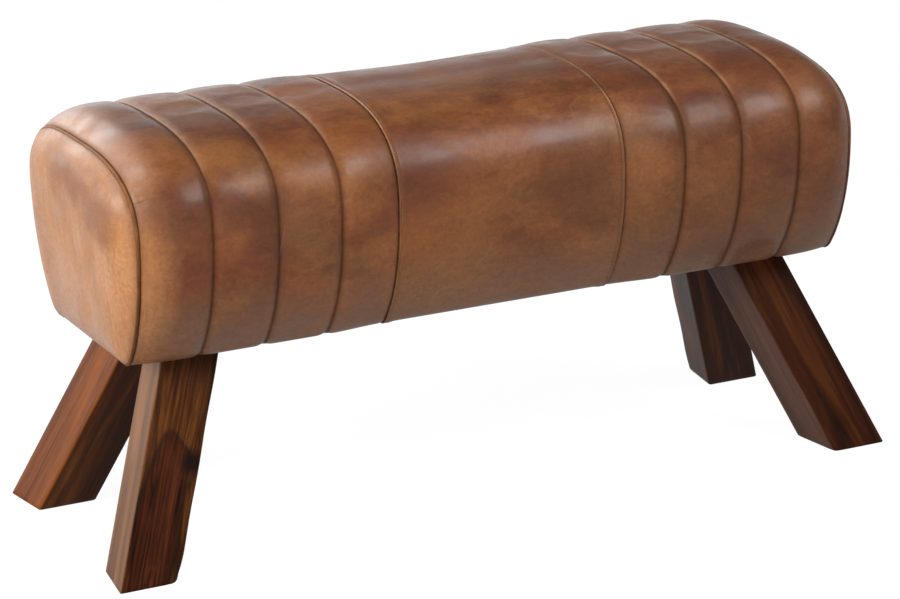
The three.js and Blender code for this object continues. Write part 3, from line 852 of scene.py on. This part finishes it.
def dust_cover(material):
    """Thin cloth that sags between its staples, with a window for each leg."""
    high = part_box("dust_cover")[1]
    xs = stations(high.x, WINDOW_MIDDLE[0], WINDOW_HALF[0])
    ys = stations(high.y, WINDOW_MIDDLE[1], WINDOW_HALF[1])
    grid_x, grid_y = np.meshgrid(xs, ys, indexing="ij")
    edge = np.minimum(high.x - np.abs(grid_x), high.y - np.abs(grid_y))
    uneven = 1 + 0.3 * np.sin(grid_x * 23 + 1) * np.cos(grid_y * 31)
    sag = COVER_SAG * smooth(edge, 0.008, 0.06) * uneven
    pull = np.sin(grid_x * 2 * math.pi / 0.034) * np.sin(grid_y * 90 + 0.5)
    pucker = COVER_PUCKER * bell(edge, 0.02, 0.012) * pull
    hem = COVER_HEM * (1 - smooth(edge, 0.011, 0.013))
    height = high.z - 0.0002 - sag - pucker - hem
    points = np.stack([grid_x, grid_y, height], axis=-1).reshape(-1, 3)

    def covered(face):
        middle = np.mean(points[list(face), :2], axis=0)
        return np.any(np.abs(np.abs(middle) - WINDOW_MIDDLE) > WINDOW_HALF)

    faces = [(face[0], *face[:0:-1]) for face in grid_faces(len(xs), len(ys)) if covered(face)]
    piece = new_object("dust_cover_cloth", points, faces)
    drop_loose(piece)
    thicken(piece, COVER_THICKNESS)
    return finish_piece(piece, material, "dust_cloth", "dust_cover")


def drop_loose(piece):
    """Removes points that no face uses."""
    working = bmesh.new()
    working.from_mesh(piece.data)
    loose = [vertex for vertex in working.verts if not vertex.link_faces]
    bmesh.ops.delete(working, geom=loose, context="VERTS")
    working.to_mesh(piece.data)
    working.free()


def staples(material):
    """Wire staples round the edge of the dust cover, crowns downwards."""
    low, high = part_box("dust_cover")
    places = []
    inset = 0.005
    for side in (-1, 1):
        for x in np.arange(low.x + 0.02, high.x - 0.015, 0.036):
            places.append((x, side * (high.y - inset), 0.0))
    for side in (-1, 1):
        for y in np.arange(low.y + 0.025, high.y - 0.02, 0.034):
            places.append((side * (high.x - inset), y, math.pi / 2))
    template, template_faces = staple_shape()
    points = []
    faces = []
    for index, (x, y, turn) in enumerate(places):
        turn += 0.12 * math.sin(index * 2.4)
        cos, sin = math.cos(turn), math.sin(turn)
        start = index * len(template)
        spun = template @ np.array([[cos, sin, 0], [-sin, cos, 0], [0, 0, 1]])
        points.append(spun + np.array([x, y, high.z - 0.0019]))
        faces += [tuple(start + i for i in face) for face in template_faces]
    piece = new_object("underside_staples", np.concatenate(points), faces)
    return finish_piece(piece, material, "zinc_steel")


def staple_shape():
    """One staple: a flattened crown with a short leg at each end, going up."""
    half = 0.005
    wire = 0.0004
    end = [(half - 0.0004, 0), (half, 0.0003), (half, 0.0012)]
    path = np.array([(-x, z) for x, z in end[::-1]] + end)
    points = []
    for i, (x, z) in enumerate(path):
        run = path[min(len(path) - 1, i + 1)] - path[max(0, i - 1)]
        run /= np.linalg.norm(run)
        for dy, dn in ((-1.3, -0.7), (1.3, -0.7), (1.3, 0.7), (-1.3, 0.7)):
            points.append((x - run[1] * dn * wire, dy * wire, z + run[0] * dn * wire))
    points = np.array(points)
    faces = grid_faces(len(path), 4, closed_rows=True)
    faces += [(0, 1, 2, 3), tuple(range(len(points) - 4, len(points)))[::-1]]
    return points, outward(points, faces)


# ---------------- node helpers


class Value:
    """A node's output, with arithmetic that adds maths nodes to its tree."""

    def __init__(self, socket):
        self.socket = socket
        self.tree = socket.id_data

    def __add__(self, other):
        return maths("ADD", self, other)

    def __sub__(self, other):
        return maths("SUBTRACT", self, other)

    def __rsub__(self, other):
        return maths("SUBTRACT", other, self)

    def __mul__(self, other):
        return maths("MULTIPLY", self, other)


def node(tree, kind, inputs=None, **settings):
    """A new node's outputs, by number and by name. An input may be a plain value or an output."""
    made = tree.nodes.new(kind)
    for key, value in settings.items():
        setattr(made, key, value)
    for key, value in (inputs or {}).items():
        if isinstance(value, Value):
            tree.links.new(value.socket, made.inputs[key])
        elif value is not None:
            made.inputs[key].default_value = value
    outputs = {output.name: Value(output) for output in made.outputs}
    outputs.update({number: Value(output) for number, output in enumerate(made.outputs)})
    return outputs


def tree_of(*values):
    return next(value.tree for value in values if isinstance(value, Value))


def maths(operation, a, b=0.0):
    return node(tree_of(a, b), "ShaderNodeMath", {0: a, 1: b}, operation=operation)[0]


def vector_maths(operation, a, b=(0, 0, 0), output="Vector"):
    return node(a.tree, "ShaderNodeVectorMath", {0: a, 1: b}, operation=operation)[output]


def new_material(name):
    material = bpy.data.materials.new(name)
    material.use_nodes = True
    material.node_tree.nodes.clear()
    return material


def place(material):
    """Where a point is on the object, in metres."""
    return node(material.node_tree, "ShaderNodeTexCoord")["Object"]


def attribute(material, name, output="Fac"):
    return node(material.node_tree, "ShaderNodeAttribute", attribute_name=name)[output]


def components(vector):
    """The X, Y and Z of a vector."""
    parts = node(vector.tree, "ShaderNodeSeparateXYZ", {"Vector": vector})
    return parts["X"], parts["Y"], parts["Z"]


def stretched(vector, scale, shift=(0, 0, 0)):
    return node(vector.tree, "ShaderNodeMapping", {"Vector": vector, "Scale": scale, "Location": shift})[0]


def noise(vector, scale, detail=4.0, roughness=0.55, distortion=0.0, output="Fac"):
    inputs = {"Vector": vector, "Scale": scale, "Detail": detail}
    inputs.update({"Roughness": roughness, "Distortion": distortion})
    return node(vector.tree, "ShaderNodeTexNoise", inputs)[output]


def cells(vector, scale, feature="F1"):
    inputs = {"Vector": vector, "Scale": scale}
    return node(vector.tree, "ShaderNodeTexVoronoi", inputs, feature=feature)["Distance"]


def spread(value, low, high, to_low=0.0, to_high=1.0):
    """A value's range low..high read as to_low..to_high, clamped."""
    inputs = {"Value": value, 1: low, 2: high, 3: to_low, 4: to_high}
    return node(value.tree, "ShaderNodeMapRange", inputs, clamp=True)[0]


def ramp(value, *stops, soft=False):
    """A colour ramp from (position, colour) stops."""
    made = value.tree.nodes.new("ShaderNodeValToRGB")
    value.tree.links.new(value.socket, made.inputs["Fac"])
    elements = made.color_ramp.elements
    if soft:
        made.color_ramp.interpolation = "B_SPLINE"
    while len(elements) < len(stops):
        elements.new(0.5)
    for element, (position, colour) in zip(elements, stops):
        element.position = position
        element.color = (*colour, 1.0)
    return Value(made.outputs["Color"])


def blended(factor, a, b, mode="MIX"):
    """Two colours mixed by a factor."""
    a, b = [colour if isinstance(colour, Value) else (*colour, 1.0) for colour in (a, b)]
    inputs = {0: factor, 6: a, 7: b}
    return node(tree_of(factor, a, b), "ShaderNodeMix", inputs, data_type="RGBA", blend_type=mode)[2]


def layered(colour, *layers):
    """A colour with others laid over it in turn, each with its share."""
    for share, paint in layers:
        colour = blended(share, colour, paint)
    return colour


def relief(*layers):
    """Bumps laid over each other: the pattern of each, its strength and its height."""
    normal = None
    for height, strength, distance in layers:
        inputs = {"Height": height, "Strength": strength, "Distance": distance, "Normal": normal}
        normal = node(height.tree, "ShaderNodeBump", inputs)["Normal"]
    return normal


def surface(material, colour, roughness, normal=None, **values):
    inputs = {"Base Color": colour, "Roughness": roughness, "Normal": normal}
    inputs.update({key.replace("_", " "): value for key, value in values.items()})
    shader = node(material.node_tree, "ShaderNodeBsdfPrincipled", inputs)[0]
    node(material.node_tree, "ShaderNodeOutputMaterial", {"Surface": shader})
    return material


def patterned(name, pattern, low, high, roughness, strength, distance):
    """A material whose colour and relief follow one pattern. low and high are stops of its ramp."""
    material = new_material(name)
    height = pattern(place(material))
    return surface(material, ramp(height, low, high), roughness, relief((height, strength, distance)))


# ---------------- leather and thread


def leather_material():
    """Waxed aniline leather: mottled tan and brown, with painted shade darkening the seams, softly glossy.
    """
    material = new_material("waxed_leather")
    where = place(material)
    brushed = noise(stretched(where, (0.7, 1.0, 1.35), (3.1, 1.7, 0.4)), 26.0, 3.0, 0.50)
    flecks = noise(stretched(where, (0.8, 1.0, 1.2)), 110.0, 3.0, 0.6)
    colour = ramp(
        noise(where, 8.5, 2.0, 0.45) * 0.46 + brushed * 0.30 + flecks * 0.24,
        (0.37, (0.092, 0.022, 0.004)),
        (0.46, (0.136, 0.035, 0.006)),
        (0.53, (0.186, 0.053, 0.009)),
        (0.63, (0.270, 0.090, 0.018)),
        soft=True,
    )
    for coloured in (leather_hues, body_shading, leather_patches, leather_specks):
        colour = coloured(where, colour)
    seam = attribute(material, "seam")
    rubbed_and_lit = attribute(material, "worn_and_lit") * spread(brushed, 0.35, 0.60, 0.30, 0.85)
    normal, scars, creases = leather_relief(where)
    colour = layered(
        colour,
        # Painted shade: darker towards each seam's valley, and darkest in its groove.
        (spread(seam, 0.0005, 0.0080, 0.42, 0.0), (0.080, 0.027, 0.009)),
        (spread(seam, 0.0, 0.0022, 0.60, 0.0), (0.048, 0.016, 0.006)),
        # Paler edges: rubbed dye along the folded edges, and a painted highlight high up where the edges
        # catch the light.
        (rubbed_and_lit, (0.500, 0.250, 0.120)),
        (scars * 0.18, (0.42, 0.23, 0.13)),
        # Painted shade: the creases painted dark in their folds.
        (creases * 0.85, (0.050, 0.018, 0.008)),
    )
    return surface(
        material,
        colour,
        spread(brushed, 0.35, 0.65, 0.46, 0.62),
        normal,
        Specular_IOR_Level=spread(seam, 0.0, 0.0040, 0.15, 0.50),
        Coat_Weight=spread(seam, 0.0, 0.0050, 0.04, 0.32),
        Coat_Roughness=spread(brushed, 0.35, 0.65, 0.22, 0.38),
    )


def leather_hues(where, colour):
    """The dye drifts between olive brown and red brown."""
    drift = noise(stretched(where, (0.8, 1.0, 1.2), (7.7, 2.2, 5.1)), 11.0, 2.0, 0.5, 0.1)
    return layered(
        colour,
        (spread(drift, 0.50, 0.34, 0.0, 0.45), (0.165, 0.070, 0.018)),
        (spread(drift, 0.50, 0.66, 0.0, 0.45), (0.175, 0.038, 0.008)),
    )


def body_shading(where, colour):
    """A darker band high on the flanks, a painted reflection of the pale floor low down, painted shade
    towards the right end away from the lamp at the left, and painted light paling the left end.
    """
    x, _, z = components(where)
    ragged = (noise(where, 9.0, 5.0, 0.6) - 0.5) * 0.07
    height = z + ragged
    band = spread(height, 0.335, 0.395) * spread(height, 0.420, 0.452, 1.0, 0.0) * 0.22
    softly = noise(stretched(where, (1.0, 1.0, 0.55), (4.4, 0.2, 1.9)), 16.0, 2.0, 0.45)
    upright = noise(stretched(where, (1.0, 1.0, 0.10), (0.9, 3.3, 2.8)), 150.0, 3.0, 0.55)
    # The colour of the painted light on the left end: pale leather with its own mottling.
    pale = ramp(
        softly * 0.65 + upright * 0.35,
        (0.38, (0.285, 0.108, 0.032)),
        (0.50, (0.340, 0.138, 0.044)),
        (0.62, (0.400, 0.176, 0.062)),
        soft=True,
    )
    return layered(
        colour,
        (band, (0.080, 0.026, 0.011)),
        # Painted reflection: the pale floor shown as paler pinkish leather low down.
        (spread(height, 0.330, 0.240, 0.0, 0.55), (0.225, 0.112, 0.056)),
        # Painted shade: darker towards the right end, away from the lamp at the left.
        (spread(x, 0.0, 0.40, 0.0, 0.34), (0.085, 0.025, 0.008)),
        # Painted light: the left end, lit by the lamp at the left, painted pale.
        (spread(x + ragged, -0.405, -0.452, 0.0, 0.92), pale),
    )


# Patches where the dye stayed darker or wore paler, and a pinkish-grey painted reflection of the floor
# low on the left cap: each colour with its strength, then its spots as x, y, z and radius.
PATCHES = {
    ((0.290, 0.096, 0.020), 0.38): (
        (-0.390, -0.110, 0.472, 0.045),
        (-0.430, -0.167, 0.380, 0.026),
        (-0.333, -0.133, 0.467, 0.030),
        (-0.258, -0.157, 0.451, 0.034),
        (-0.194, -0.177, 0.396, 0.034),
        (-0.085, -0.163, 0.330, 0.070),
        (0.157, -0.169, 0.390, 0.034),
        (-0.060, -0.080, 0.478, 0.045),
    ),
    ((0.080, 0.018, 0.004), 0.60): (
        (-0.409, -0.172, 0.418, 0.044),
        (-0.350, -0.175, 0.417, 0.032),
        (-0.306, -0.178, 0.405, 0.034),
        (-0.118, -0.159, 0.421, 0.042),
        (0.077, -0.164, 0.377, 0.062),
        (0.315, -0.179, 0.382, 0.034),
    ),
    ((0.345, 0.128, 0.018), 0.55): (
        (-0.464, 0.055, 0.440, 0.045),
        (-0.466, 0.000, 0.452, 0.040),
        (-0.462, -0.070, 0.440, 0.034),
        (-0.462, -0.120, 0.390, 0.030),
    ),
    ((0.165, 0.045, 0.006), 0.72): (
        (-0.466, 0.020, 0.434, 0.034),
        (-0.466, -0.022, 0.424, 0.030),
        (-0.464, -0.062, 0.412, 0.030),
        (-0.462, -0.100, 0.398, 0.034),
    ),
    # Painted reflection: the pale floor shown as pinkish-grey low on the left cap.
    ((0.330, 0.185, 0.120), 0.55): (
        (-0.455, 0.032, 0.271, 0.060),
        (-0.455, -0.050, 0.240, 0.040),
    ),
}


def leather_patches(where, colour):
    torn = noise(stretched(where, (0.8, 1.0, 1.3), (0.3, 5.9, 2.6)), 24.0, 2.0, 0.45)
    fray = (torn - 0.5) * 0.06
    for (paint, share), spots in PATCHES.items():
        for *spot, radius in spots:
            away = vector_maths("DISTANCE", where, spot, "Value") + fray
            colour = blended(spread(away, 0.3 * radius, 1.3 * radius, share, 0.0), colour, paint)
    return colour


def leather_specks(where, colour):
    """The dye sits unevenly in the grain: fine dark and pale specks."""
    grainy = noise(where, 230.0, 3.0, 0.65)
    speckle = noise(where, 420.0, 3.0, 0.7)
    darker = spread(grainy, 0.50, 0.36, 0.0, 0.26)
    paler = spread(grainy, 0.52, 0.68, 0.0, 0.26)
    flecked = spread(speckle, 0.35, 0.7, 0.0, 0.40)
    colour = blended(darker, colour, (0.45, 0.40, 0.36), "MULTIPLY")
    colour = blended(paler, colour, (1.45, 1.60, 1.90), "MULTIPLY")
    return blended(flecked, colour, (1.25, 1.40, 1.80), "MULTIPLY")


# Fine creases, pressed into the relief and painted dark as painted shade in their folds: the middle of
# each, the direction it runs in, its half length and its strength.
CREASES = (
    ((-0.4375, -0.1340, 0.4400), (1.0, -1.10, 0.36), 0.014, 1.0),
    ((-0.4375, -0.1470, 0.4270), (1.0, -0.85, 0.55), 0.017, 1.0),
    ((-0.4350, -0.1440, 0.4340), (1.0, -0.95, 0.30), 0.009, 0.7),
    ((-0.4570, -0.0980, 0.3100), (0.0, -0.08, -1.0), 0.050, 0.35),
    ((-0.4600, -0.0900, 0.3550), (0.0, -0.18, -1.0), 0.028, 0.30),
    ((0.1900, -0.1560, 0.4510), (1.0, -0.35, -0.15), 0.026, 0.8),
    ((0.1700, -0.1560, 0.4100), (1.0, -0.05, 0.30), 0.020, 0.6),
)
CREASE_HALF_WIDTH = 0.0017


def crease(where, middle, direction, half_length, strength):
    """1 on a short line on the surface, fading to 0 beside it and at its ends."""
    away = vector_maths("SUBTRACT", where, middle)
    along = vector_maths("DOT_PRODUCT", away, Vector(direction).normalized(), "Value")
    length = vector_maths("LENGTH", away, output="Value")
    aside = maths("SQRT", maths("MAXIMUM", length * length - along * along))
    ends = spread(maths("ABSOLUTE", along), 0.4 * half_length, half_length, strength, 0.0)
    return spread(aside, 0.0, CREASE_HALF_WIDTH, 1.0, 0.0) * ends


def leather_relief(where):
    """Fine pebbled grain, soft wrinkles, creases and a few scars: the normal, scars and creases."""
    bent = noise(where, 16.0, 3.0, 0.5, output="Color")
    warped = vector_maths("ADD", where, stretched(bent, (0.06, 0.06, 0.06)))
    lines = cells(stretched(warped, (1.0, 1.0, 0.55)), 17.0, "DISTANCE_TO_EDGE")
    scars = spread(lines, 0.0, 0.022, 1.0, 0.0) * spread(noise(where, 7.0, 2.0), 0.59, 0.69)
    creases = crease(where, *CREASES[0])
    for following in CREASES[1:]:
        creases = maths("MAXIMUM", creases, crease(where, *following))
    normal = relief(
        (noise(stretched(where, (1.0, 1.0, 1.7)), 46.0, 3.0, 0.5, 0.6), 0.22, 0.0016),
        (creases, -0.6, 0.0012),
        (scars, -0.25, 0.0006),
        (cells(where, 620.0), 0.10, 0.0004),
        (noise(where, 900.0, 2.0, 0.6), 0.10, 0.0003),
    )
    return normal, scars, creases


def welt_material():
    """The piping's tightly stretched leather, with painted shade darkening it low down and painted light
    paling it higher up.
    """
    material = new_material("piping_leather")
    where = place(material)
    tone = noise(where, 60.0, 4.0, 0.6)
    dark = ramp(tone, (0.3, (0.060, 0.018, 0.004)), (0.7, (0.120, 0.040, 0.009)))
    light = ramp(tone, (0.3, (0.130, 0.045, 0.011)), (0.7, (0.230, 0.090, 0.024)))
    # Painted shade low on the cord, painted light higher up.
    colour = blended(spread(components(where)[2], 0.350, 0.430), dark, light)
    creases = noise(stretched(where, (0.3, 1.0, 1.0)), 420.0, 2.0)
    return surface(material, colour, 0.55, relief((creases, 0.3, 0.0004)), Specular_IOR_Level=0.3)


def thread_material(name, dark, light):
    """Waxed sewing thread with its twist."""
    return patterned(
        name, lambda where: noise(where, 1500.0, 2.0), (0.35, dark), (0.65, light), 0.6, 0.4, 0.0002
    )


# ---------------- timber, foam, cloth and steel

HEART_TIP = (-0.008, 0.164)
HEART_LEFT_SPREAD = 0.150
HEART_RIGHT_SPREAD = 0.420
HEART_POWER = 0.75
SAPWOOD_LINE = 0.0215
KNOT = (0.0235, -0.0325, 0.1310)


def sheesham_material(name, seed, tone, lit_left_face, heart=False):
    """Oiled sheesham, its grain along the leg. The left-face argument gives the dark and the light colour
    of the
    face to the left, or None: partly the wood's own tone and partly painted light, as that face is turned
    to the lamp at the left; the heartwood figure stands on the front face."""
    material = new_material(name)
    grain = attribute(material, "grain", "Vector")
    bands = noise(stretched(grain, (30, 30, 3.0), seed), 1.0, 4.0, 0.5, 0.8)
    streaks = noise(stretched(grain, (115, 115, 6.5), seed), 1.0, 6.0, 0.66, 1.3)
    pores = noise(stretched(grain, (1300, 1300, 45.0), seed), 1.0, 2.0, 0.6)
    colour = ramp(
        bands * 0.72 + streaks * 0.28 + tone,
        (0.34, (0.009, 0.003, 0.001)),
        (0.44, (0.022, 0.006, 0.002)),
        (0.52, (0.040, 0.010, 0.003)),
        (0.60, (0.080, 0.023, 0.005)),
        (0.74, (0.165, 0.056, 0.012)),
    )
    if heart:
        colour = heart_figure(grain, bands, streaks, colour)
    if lit_left_face:
        # Painted light: the face to the left, turned to the lamp at the left, painted paler.
        paler = ramp(bands * 0.5 + streaks * 0.5, (0.38, lit_left_face[0]), (0.62, lit_left_face[1]))
        colour = blended(spread(components(grain)[0], -0.0308, -0.0321), colour, paler)
    colour = blended(spread(pores, 0.30, 0.42, 0.30, 0.0), colour, (0.012, 0.005, 0.003))
    normal = relief((pores, 0.10, 0.0003), (streaks, 0.08, 0.0005))
    return surface(material, colour, spread(streaks, 0.3, 0.7, 0.34, 0.46), normal, Specular_IOR_Level=0.13)


def heart_figure(grain, bands, streaks, colour):
    """A pointed arch of dark red heartwood with a black outline on the front face, a knot on its
    right shoulder and golden sapwood round it, with a painted shadow of the body darkening it near the
    body."""
    x, y, z = components(grain)
    front = spread(y, -0.020, -0.030)
    drift = (bands - 0.5) * 0.020
    across = x + (streaks - 0.5) * 0.012 + drift
    below = maths("MAXIMUM", HEART_TIP[1] - z)
    opening = maths("POWER", below, HEART_POWER)
    left = across - (HEART_TIP[0] - opening * HEART_LEFT_SPREAD)
    right = maths("MINIMUM", opening * HEART_RIGHT_SPREAD + HEART_TIP[0], SAPWOOD_LINE) - across
    inside = maths("MINIMUM", left, right)
    golden = ramp(
        streaks, (0.36, (0.017, 0.005, 0.001)), (0.50, (0.062, 0.017, 0.003)), (0.66, (0.125, 0.041, 0.007))
    )
    heartwood = ramp(
        streaks, (0.38, (0.007, 0.002, 0.001)), (0.48, (0.030, 0.006, 0.001)), (0.64, (0.080, 0.018, 0.004))
    )
    outline = spread(maths("ABSOLUTE", inside), 0.0, 0.0046, 0.80, 0.0)
    from_knot = stretched(vector_maths("SUBTRACT", grain, KNOT), (0.85, 1.0, 0.9))
    uneven = vector_maths("LENGTH", from_knot, output="Value") + drift * 0.8
    return layered(
        colour,
        (front, golden),
        (spread(inside, -0.0010, 0.0040) * front, heartwood),
        (outline * front * spread(below, 0.0, 0.008), (0.010, 0.004, 0.002)),
        (spread(uneven, 0.006, 0.017, 0.95, 0.0) * front, (0.008, 0.003, 0.002)),
        # Painted shadow: the front face darker near the top, where the body shades it.
        (spread(z, 0.205, 0.262, 0.0, 0.80) * front, (0.012, 0.005, 0.003)),
    )


def softwood_material(name, stretch, dark, light):
    """Sawn timber with straight grain along one axis."""

    def rings(where):
        return noise(stretched(where, stretch), 1.0, 4.0, 0.6, 0.5)

    return patterned(name, rings, (0.3, dark), (0.7, light), 0.75, 0.3, 0.0004)


def foam_material():
    """Upholstery foam: cream, matt, with open cells."""
    dark = (0.1, (0.62, 0.55, 0.36))
    light = (0.8, (0.80, 0.74, 0.54))
    return patterned("upholstery_foam", lambda where: cells(where, 900.0), dark, light, 0.95, 0.4, 0.0006)


def dust_cloth_material():
    """Black spun cloth."""
    material = new_material("black_dust_cloth")
    where = place(material)
    fibres = noise(stretched(where, (1.0, 0.45, 1.0)), 1400.0, 3.0, 0.7, 1.2)
    colour = ramp(fibres, (0.3, (0.006, 0.006, 0.007)), (0.7, (0.022, 0.021, 0.022)))
    normal = relief((cells(where, 520.0), 0.35, 0.0004), (fibres, 0.3, 0.0003))
    return surface(material, colour, 0.92, normal, Sheen_Weight=0.15)


def steel_material():
    """Zinc-plated steel, slightly clouded."""
    material = new_material("zinc_plate")
    cloud = noise(place(material), 160.0, 4.0, 0.6)
    colour = ramp(cloud, (0.3, (0.42, 0.43, 0.45)), (0.7, (0.62, 0.62, 0.62)))
    return surface(material, colour, spread(cloud, 0.3, 0.7, 0.24, 0.42), Metallic=1.0)


# ---------------- the bench

# Colours of the legs' faces to the left: partly the wood's own tone, partly painted light from the lamp at
# the left.
LIT_TAN_FACE = ((0.088, 0.036, 0.015), (0.222, 0.100, 0.044))
LIT_ORANGE_FACE = ((0.085, 0.020, 0.003), (0.255, 0.070, 0.010))
LIT_PINK_FACE = ((0.050, 0.020, 0.012), (0.120, 0.054, 0.036))

# The timber of each leg has its own figure: the leg's sides, its seed and tone, the colours of its left
# face, paler there as painted light, and the corner of the post that has worn at the foot, with how far.
LEGS = {
    "front_left": ((-1, -1), (2.3, 7.1, 0.4), 0.0, LIT_TAN_FACE, (1, -1), 0.0026),
    "back_left": ((-1, 1), (5.2, 1.4, 3.3), 0.09, LIT_ORANGE_FACE, (1, 1), 0.0006),
    "front_right": ((1, -1), (9.4, 3.8, 6.1), 0.0, LIT_PINK_FACE, (-1, -1), 0.0005),
    "back_right": ((1, 1), (1.7, 8.6, 9.2), 0.01, None, (-1, 1), 0.0006),
}
FOAM_PRESSED_IN = 0.0035
PINE = ((0.42, 0.24, 0.10), (0.66, 0.44, 0.23))
PLYWOOD = ((0.36, 0.20, 0.09), (0.60, 0.41, 0.22))


def build_cover():
    leather = leather_material()
    piping = welt_material()
    light_thread = thread_material("panel_thread", (0.16, 0.070, 0.030), (0.36, 0.20, 0.10))
    dark_thread = thread_material("seam_thread", (0.030, 0.012, 0.006), (0.11, 0.048, 0.022))
    panel = leather_panel("centre_panel", -SEAMS[0], SEAMS[0], lapped_edge, lapped_edge, leather)
    for word, side in SIDES:
        channels = [channel(word, side, k, leather) for k in range(1, CHANNELS + 1)]
        end_cap(word, side, leather)
        welt(word, side, piping)
        topstitching(word, side, panel, light_thread)
        seam_stitching(word, side, channels, dark_thread)


def build_legs():
    for word, (sides, seed, tone, lit_left_face, worn_corner, worn_away) in LEGS.items():
        timber = sheesham_material(f"sheesham_{word}", seed, tone, lit_left_face, heart=word == "front_left")
        leg(word, *sides, timber, worn_corner, worn_away)


def compress(piece):
    """The tight leather presses the foam in a little."""
    piece.modifiers.new("weld", "WELD").merge_threshold = 0.00005
    pressed = piece.modifiers.new("pressed", "DISPLACE")
    pressed.mid_level = 0.0
    pressed.strength = -FOAM_PRESSED_IN


def finish_cad_nodes(steel):
    """Better materials for the CAD nodes that stay, chosen by how their names end."""
    pine_lengthways = softwood_material("pine_lengthways", (6, 150, 90), *PINE)
    finishes = (
        ("foam", foam_material()),
        (("screw_1", "screw_2", "washer_1", "washer_2"), steel),
        ("deck_board", softwood_material("plywood", (9, 40, 900), *PLYWOOD)),
        (("leg_plank", "front_rail", "back_rail"), pine_lengthways),
        ("", softwood_material("pine_crossways", (150, 6, 90), *PINE)),
    )
    for name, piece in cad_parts.items():
        if piece.hide_render:
            continue
        if name.endswith("foam"):
            compress(piece)
        for slot in piece.material_slots:
            slot.material = next(material for ending, material in finishes if name.endswith(ending))


# ---------------- the studio

CAMERA_PLACE = Vector((-1.7122, -3.4991, 1.4714))
CAMERA_RIGHT = Vector((0.894187, -0.447410, -0.015926))
CAMERA_DOWN = Vector((-0.150403, -0.266707, -0.951970))
CAMERA_FORWARD = Vector((0.421673, 0.853634, -0.305777))
CAMERA_LENS = 140.82
CAMERA_SHIFT = (-0.01465, -0.01127)
FLOOR_HALF = 9.0
FLOOR_GLOW = 1.10
WHITE = (1, 1, 1, 1)
SWEEP_STRENGTH = 1.9
LEFT_WALL_STRENGTH = 0.30
ROOM_STRENGTH = 0.14


def camera():
    data = bpy.data.cameras.new("camera")
    data.lens = CAMERA_LENS
    data.sensor_width = 36
    data.shift_x, data.shift_y = CAMERA_SHIFT
    data.clip_end = 50
    made = bpy.data.objects.new("camera", data)
    turn = Matrix((CAMERA_RIGHT, -CAMERA_DOWN, -CAMERA_FORWARD)).transposed()
    made.matrix_world = Matrix.Translation(CAMERA_PLACE) @ turn.to_4x4()
    bpy.context.scene.collection.objects.link(made)
    bpy.context.scene.camera = made


def softbox(name, spot, target, size, power, mirrored=True, lighting=True):
    """An area light; it may be kept out of reflections or light them alone."""
    data = bpy.data.lights.new(name, "AREA")
    data.shape = "RECTANGLE"
    data.size, data.size_y = size
    data.energy = power
    light = bpy.data.objects.new(name, data)
    light.location = spot
    light.visible_glossy = mirrored
    light.visible_diffuse = lighting
    light.rotation_euler = (Vector(target) - Vector(spot)).to_track_quat("-Z", "Y").to_euler()
    bpy.context.scene.collection.objects.link(light)


def floor():
    """A pale floor that the camera sees as white and that lights the bench only dimly."""
    corners = np.array([(-1, -1, 0), (1, -1, 0), (1, 1, 0), (-1, 1, 0)]) * FLOOR_HALF
    piece = new_object("floor", corners, [(0, 1, 2, 3)])
    material = new_material("pale_floor")
    tree = material.node_tree
    where = place(material)
    colour = ramp(noise(where, 2.0, 2.0), (0.3, (0.70, 0.70, 0.70)), (0.7, (0.74, 0.74, 0.74)))
    rays = node(tree, "ShaderNodeLightPath")
    colour = blended(rays["Is Camera Ray"], (0.28, 0.28, 0.28), colour)
    paint = node(tree, "ShaderNodeBsdfDiffuse", {"Color": colour})[0]
    glow = node(tree, "ShaderNodeEmission", {"Color": WHITE, "Strength": FLOOR_GLOW})[0]
    near_side = spread(components(where)[1], -0.6, 1.2, 0.15, 1.0)
    seen = maths("MAXIMUM", rays["Is Camera Ray"], rays["Is Glossy Ray"] * near_side)
    mix = node(tree, "ShaderNodeMixShader", {0: seen * 0.86, 1: paint, 2: glow})[0]
    node(tree, "ShaderNodeOutputMaterial", {"Surface": mix})
    piece.data.materials.append(material)


def studio_air():
    """White walls for the camera. The leather sees a dim room with a pale sweep low down behind it
    and a paler wall on the left."""
    world = bpy.data.worlds.new("studio")
    bpy.context.scene.world = world
    world.use_nodes = True
    tree = world.node_tree
    tree.nodes.clear()
    x, y, z = components(node(tree, "ShaderNodeTexCoord")["Generated"])
    sweep = spread(y, -0.1, 0.6) * spread(z + x * 0.5, 0.55, 0.22) * SWEEP_STRENGTH
    left_wall = spread(x, 0.1, -1.0, 0.0, LEFT_WALL_STRENGTH)
    seen = node(tree, "ShaderNodeLightPath")["Is Camera Ray"]
    shown = (1.0 - seen) * (sweep + left_wall + ROOM_STRENGTH) + seen
    background = node(tree, "ShaderNodeBackground", {"Color": WHITE, "Strength": shown})[0]
    node(tree, "ShaderNodeOutputWorld", {"Surface": background})


def studio():
    floor()
    studio_air()
    softbox("shoulder_softbox", (1.15, -1.60, 2.30), (0.1, -0.1, 0.42), (1.9, 1.25), 44)
    softbox("back_window", (-1.43, 0.85, 2.17), (-0.43, -0.10, 0.45), (0.7, 0.7), 11, lighting=False)
    softbox("low_window", (-0.69, 1.96, 1.38), (-0.42, 0.0, 0.47), (0.9, 0.7), 10, lighting=False)
    softbox("side_window", (-2.39, 0.56, 1.21), (-0.45, -0.12, 0.42), (0.5, 0.5), 11, lighting=False)
    softbox("front_fill", (-0.9, -3.2, 0.8), (0.1, 0.0, 0.30), (2.4, 1.4), 40, mirrored=False)
    softbox("left_key", (-2.6, -0.7, 1.1), (-0.3, 0.0, 0.33), (1.3, 1.3), 64, mirrored=False)
    camera()
    bpy.context.scene.view_settings.view_transform = "Standard"


build_cover()
build_legs()
dust_cover(dust_cloth_material())
steel = steel_material()
staples(steel)
finish_cad_nodes(steel)
studio()
